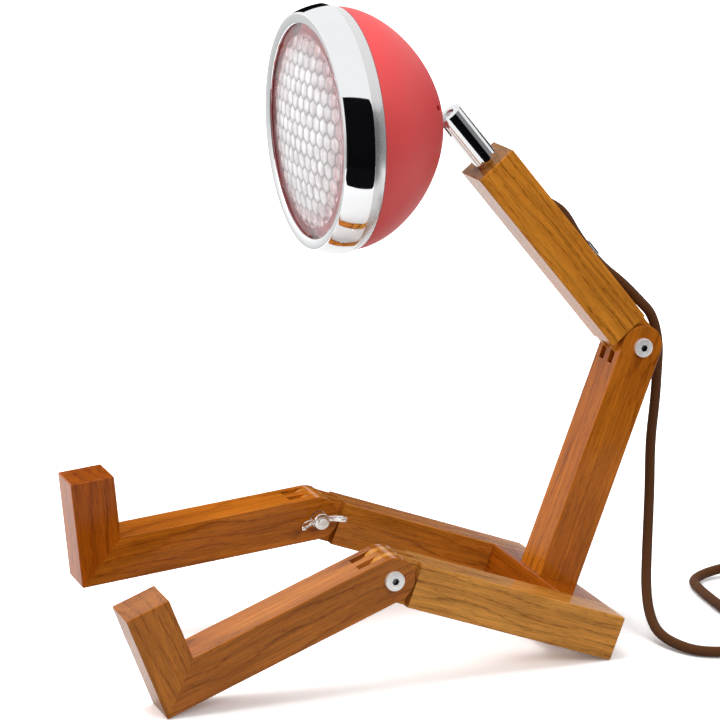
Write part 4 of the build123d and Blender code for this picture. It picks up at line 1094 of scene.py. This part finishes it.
class LAMP_OT_bezel(bpy.types.Operator):
    """Turn the chromed bezel with its crowned band"""

    bl_idname = "lamp.bezel"
    bl_label = "Bezel"

    def execute(self, context):
        outline = [
            *BEZEL_BACK, *crowned(BEZEL_BACK[-1], BEZEL_STEP[0], STRIP_CROWN, 6),
            *BEZEL_STEP, *crowned(BEZEL_STEP[-1], BEZEL_EDGE[0], BAND_CROWN, 16),
            *BEZEL_EDGE, *BEZEL_FRONT,
        ]
        ring = turned(BALL, HEAD_SLOPE, outline)
        ring.data.materials.append(metal_finish("bezel_chrome", (0.84, 0.85, 0.86), 0.025))
        # The strip behind the step is less polished.
        ring.data.materials.append(metal_finish("strip_chrome", (0.70, 0.70, 0.71), 0.2, 0.0, 0.75))
        for face in ring.data.polygons:
            station = (face.center - BALL).dot(ahead(HEAD_SLOPE)) * 1000
            face.material_index = 1 if station < BEZEL_STEP[0][0] else 0
        finished("bezel", "bezel_ring", 30.0)
        return {"FINISHED"}


def cell_middle(column, row, pitch):
    """The middle of a cell on the flat sheet: every second row lies half a cell to one side."""
    return (column + 0.5 * (row % 2)) * pitch, row * pitch * sqrt(3) / 2


class LAMP_OT_lens(bpy.types.Operator):
    """Press the lens: a shallow dome covered with a honeycomb of small crowns"""

    bl_idname = "lamp.lens"
    bl_label = "Lens"

    def execute(self, context):
        settings = context.scene.lamp
        pitch, crown = settings.cell_pitch, settings.cell_height
        sheet = self.lay_cells(pitch)
        self.shape_face(sheet, pitch, crown)
        self.add_back(sheet)
        # Across, up and out of the lens, from the ball.
        turn = Matrix((Vector((1, 0, 0)), lifted(HEAD_SLOPE), ahead(HEAD_SLOPE))).transposed().to_4x4()
        sheet.data.transform(Matrix.Translation(BALL) @ turn)
        finished("lens_glass", "lens", 50.0, glass_finish())
        return {"FINISHED"}

    def lay_cells(self, pitch):
        """One cell of small triangles, and its copies side by side, merged into a sheet."""
        start_clean()
        bpy.ops.mesh.primitive_circle_add(vertices=6, radius=pitch / sqrt(3), fill_type="TRIFAN")
        first = bpy.context.object
        edit_all()
        bpy.ops.mesh.subdivide(number_cuts=CELL_CUTS)
        leave_edit()
        reach = LENS_RIM[0] / 1000
        rows = int(reach / pitch) + 3
        cells = []
        for row in range(-rows, rows + 1):
            for column in range(-rows, rows + 1):
                spot = Vector((*cell_middle(column, row, pitch), 0))
                if spot.length < reach + pitch * CELL_OVERLAP:
                    cells.append(add_object("cell", first.data.copy()))
                    cells[-1].location = spot
        bpy.data.objects.remove(first)
        start_clean()
        for cell in cells:
            cell.select_set(True)
        bpy.context.view_layer.objects.active = cells[0]
        settle()
        bpy.ops.object.join()
        edit_all()
        bpy.ops.mesh.remove_doubles(threshold=pitch / 200)
        picked(bpy.context.object.data, "faces", lambda middle, normal: middle.to_2d().length > reach)
        bpy.ops.mesh.delete(type="FACE")
        leave_edit()
        return bpy.context.object

    def shape_face(self, sheet, pitch, crown):
        """Round the sheet's edge, dome it, and raise each cell."""
        reach = LENS_RIM[0] / 1000
        shape = bmesh.new()
        shape.from_mesh(sheet.data)
        for vertex in shape.verts:
            if vertex.is_boundary:
                flat = vertex.co.to_2d().normalized() * reach
                vertex.co = (flat.x, flat.y, 0)
        bmesh.ops.remove_doubles(shape, verts=shape.verts, dist=pitch / 400)
        groove = shape.verts.layers.float.new("groove")
        bulge = LENS_BULGE / 1000
        sphere = (reach**2 + bulge**2) / (2 * bulge)
        for vertex in shape.verts:
            x, y = vertex.co.x, vertex.co.y
            row = round(y / (pitch * sqrt(3) / 2))
            spots = []
            for near in (row - 1, row, row + 1):
                column = round(x / pitch - 0.5 * (near % 2))
                middle = cell_middle(column, near, pitch)
                spots.append(Vector((x - middle[0], y - middle[1])))
            nearest = min(spots, key=lambda spot: spot.length)
            edge = max(abs(nearest.dot(Vector((cos(turn), sin(turn))))) for turn in (0, pi / 3, 2 * pi / 3))
            edge = min(edge / (pitch / 2), 1.0)
            round_share = min(nearest.length / (pitch / sqrt(3)), 1.0)
            distance = Vector((x, y)).length
            fade = ease((reach - distance) / LENS_FADE)
            rise = 1 - CELL_FALL * edge**CELL_POWER - CELL_ROUNDING * round_share**2
            vertex[groove] = edge**GROOVE_POWER * fade
            dome = LENS_APEX / 1000 - (sphere - sqrt(sphere**2 - min(distance, reach) ** 2))
            vertex.co.z = dome + crown * (rise - CELL_DEPTH) * fade
        shape.to_mesh(sheet.data)
        shape.free()

    def add_back(self, sheet):
        """The rim and the smooth back, drawn out from the face's edge ring by ring."""
        face_radius, rim_radius = LENS_RIM
        front, rim_front, back = LENS_FACE
        edit_all()
        picked(sheet.data, "edges", lambda middle, edge: edge.is_boundary)
        rim = [(face_radius, rim_front), (rim_radius, rim_front), (rim_radius, back), (face_radius, back)]
        radius, station = face_radius, front
        for next_radius, next_station in rim + LENS_BACK:
            rise = (next_station - station) / 1000
            bpy.ops.mesh.extrude_edges_move(TRANSFORM_OT_translate={"value": (0, 0, rise)})
            share = next_radius / radius
            if share != 1:
                middle = (0, 0, next_station / 1000)
                bpy.ops.transform.resize(value=(share, share, 1), center_override=middle)
            radius, station = next_radius, next_station
        bpy.ops.mesh.extrude_edges_move(TRANSFORM_OT_translate={"value": (0, 0, BACK_TIP)})
        bpy.ops.mesh.merge(type="CENTER")
        face_outwards()
        leave_edit()


class LAMP_OT_head(bpy.types.Operator):
    """Finish the head's shell, its bulb and its lampholder"""

    bl_idname = "lamp.head"
    bl_label = "Head"

    def execute(self, context):
        paint(lacquer_finish(tuple(context.scene.lamp.lacquer)), "dome_shell")
        paint(moulded_finish("bulb_opal", (0.92, 0.92, 0.9), 0.4), "bulb_globe")
        paint(moulded_finish("holder_glaze", (0.85, 0.84, 0.8), 0.2), "lampholder")
        paint(metal_finish("bulb_cap_nickel", (0.7, 0.7, 0.68), 0.25), "bulb_cap")
        return {"FINISHED"}


class LAMP_PT_panel(bpy.types.Panel):
    """The lamp's pieces and settings"""

    bl_idname = "LAMP_PT_panel"
    bl_label = "Robot desk lamp"
    bl_space_type = "VIEW_3D"
    bl_region_type = "UI"
    bl_category = "Lamp"

    def draw(self, context):
        for name in LampSettings.__annotations__:
            self.layout.prop(context.scene.lamp, name)
        for operator in OPERATORS:
            self.layout.operator(operator.bl_idname)


OPERATORS = (
    LAMP_OT_stage, LAMP_OT_cord, LAMP_OT_fittings, LAMP_OT_bars, LAMP_OT_hardware, LAMP_OT_neck,
    LAMP_OT_bezel, LAMP_OT_lens, LAMP_OT_head,
)
CLASSES = (LampSettings, *OPERATORS, LAMP_PT_panel)


def register():
    for item in CLASSES:
        bpy.utils.register_class(item)
    bpy.types.Scene.lamp = PointerProperty(type=LampSettings)


def unregister():
    del bpy.types.Scene.lamp
    for item in reversed(CLASSES):
        bpy.utils.unregister_class(item)


def main():
    register()
    for operator in OPERATORS:
        getattr(bpy.ops.lamp, operator.bl_idname.split(".")[1])()


if __name__ == "__main__":
    main()
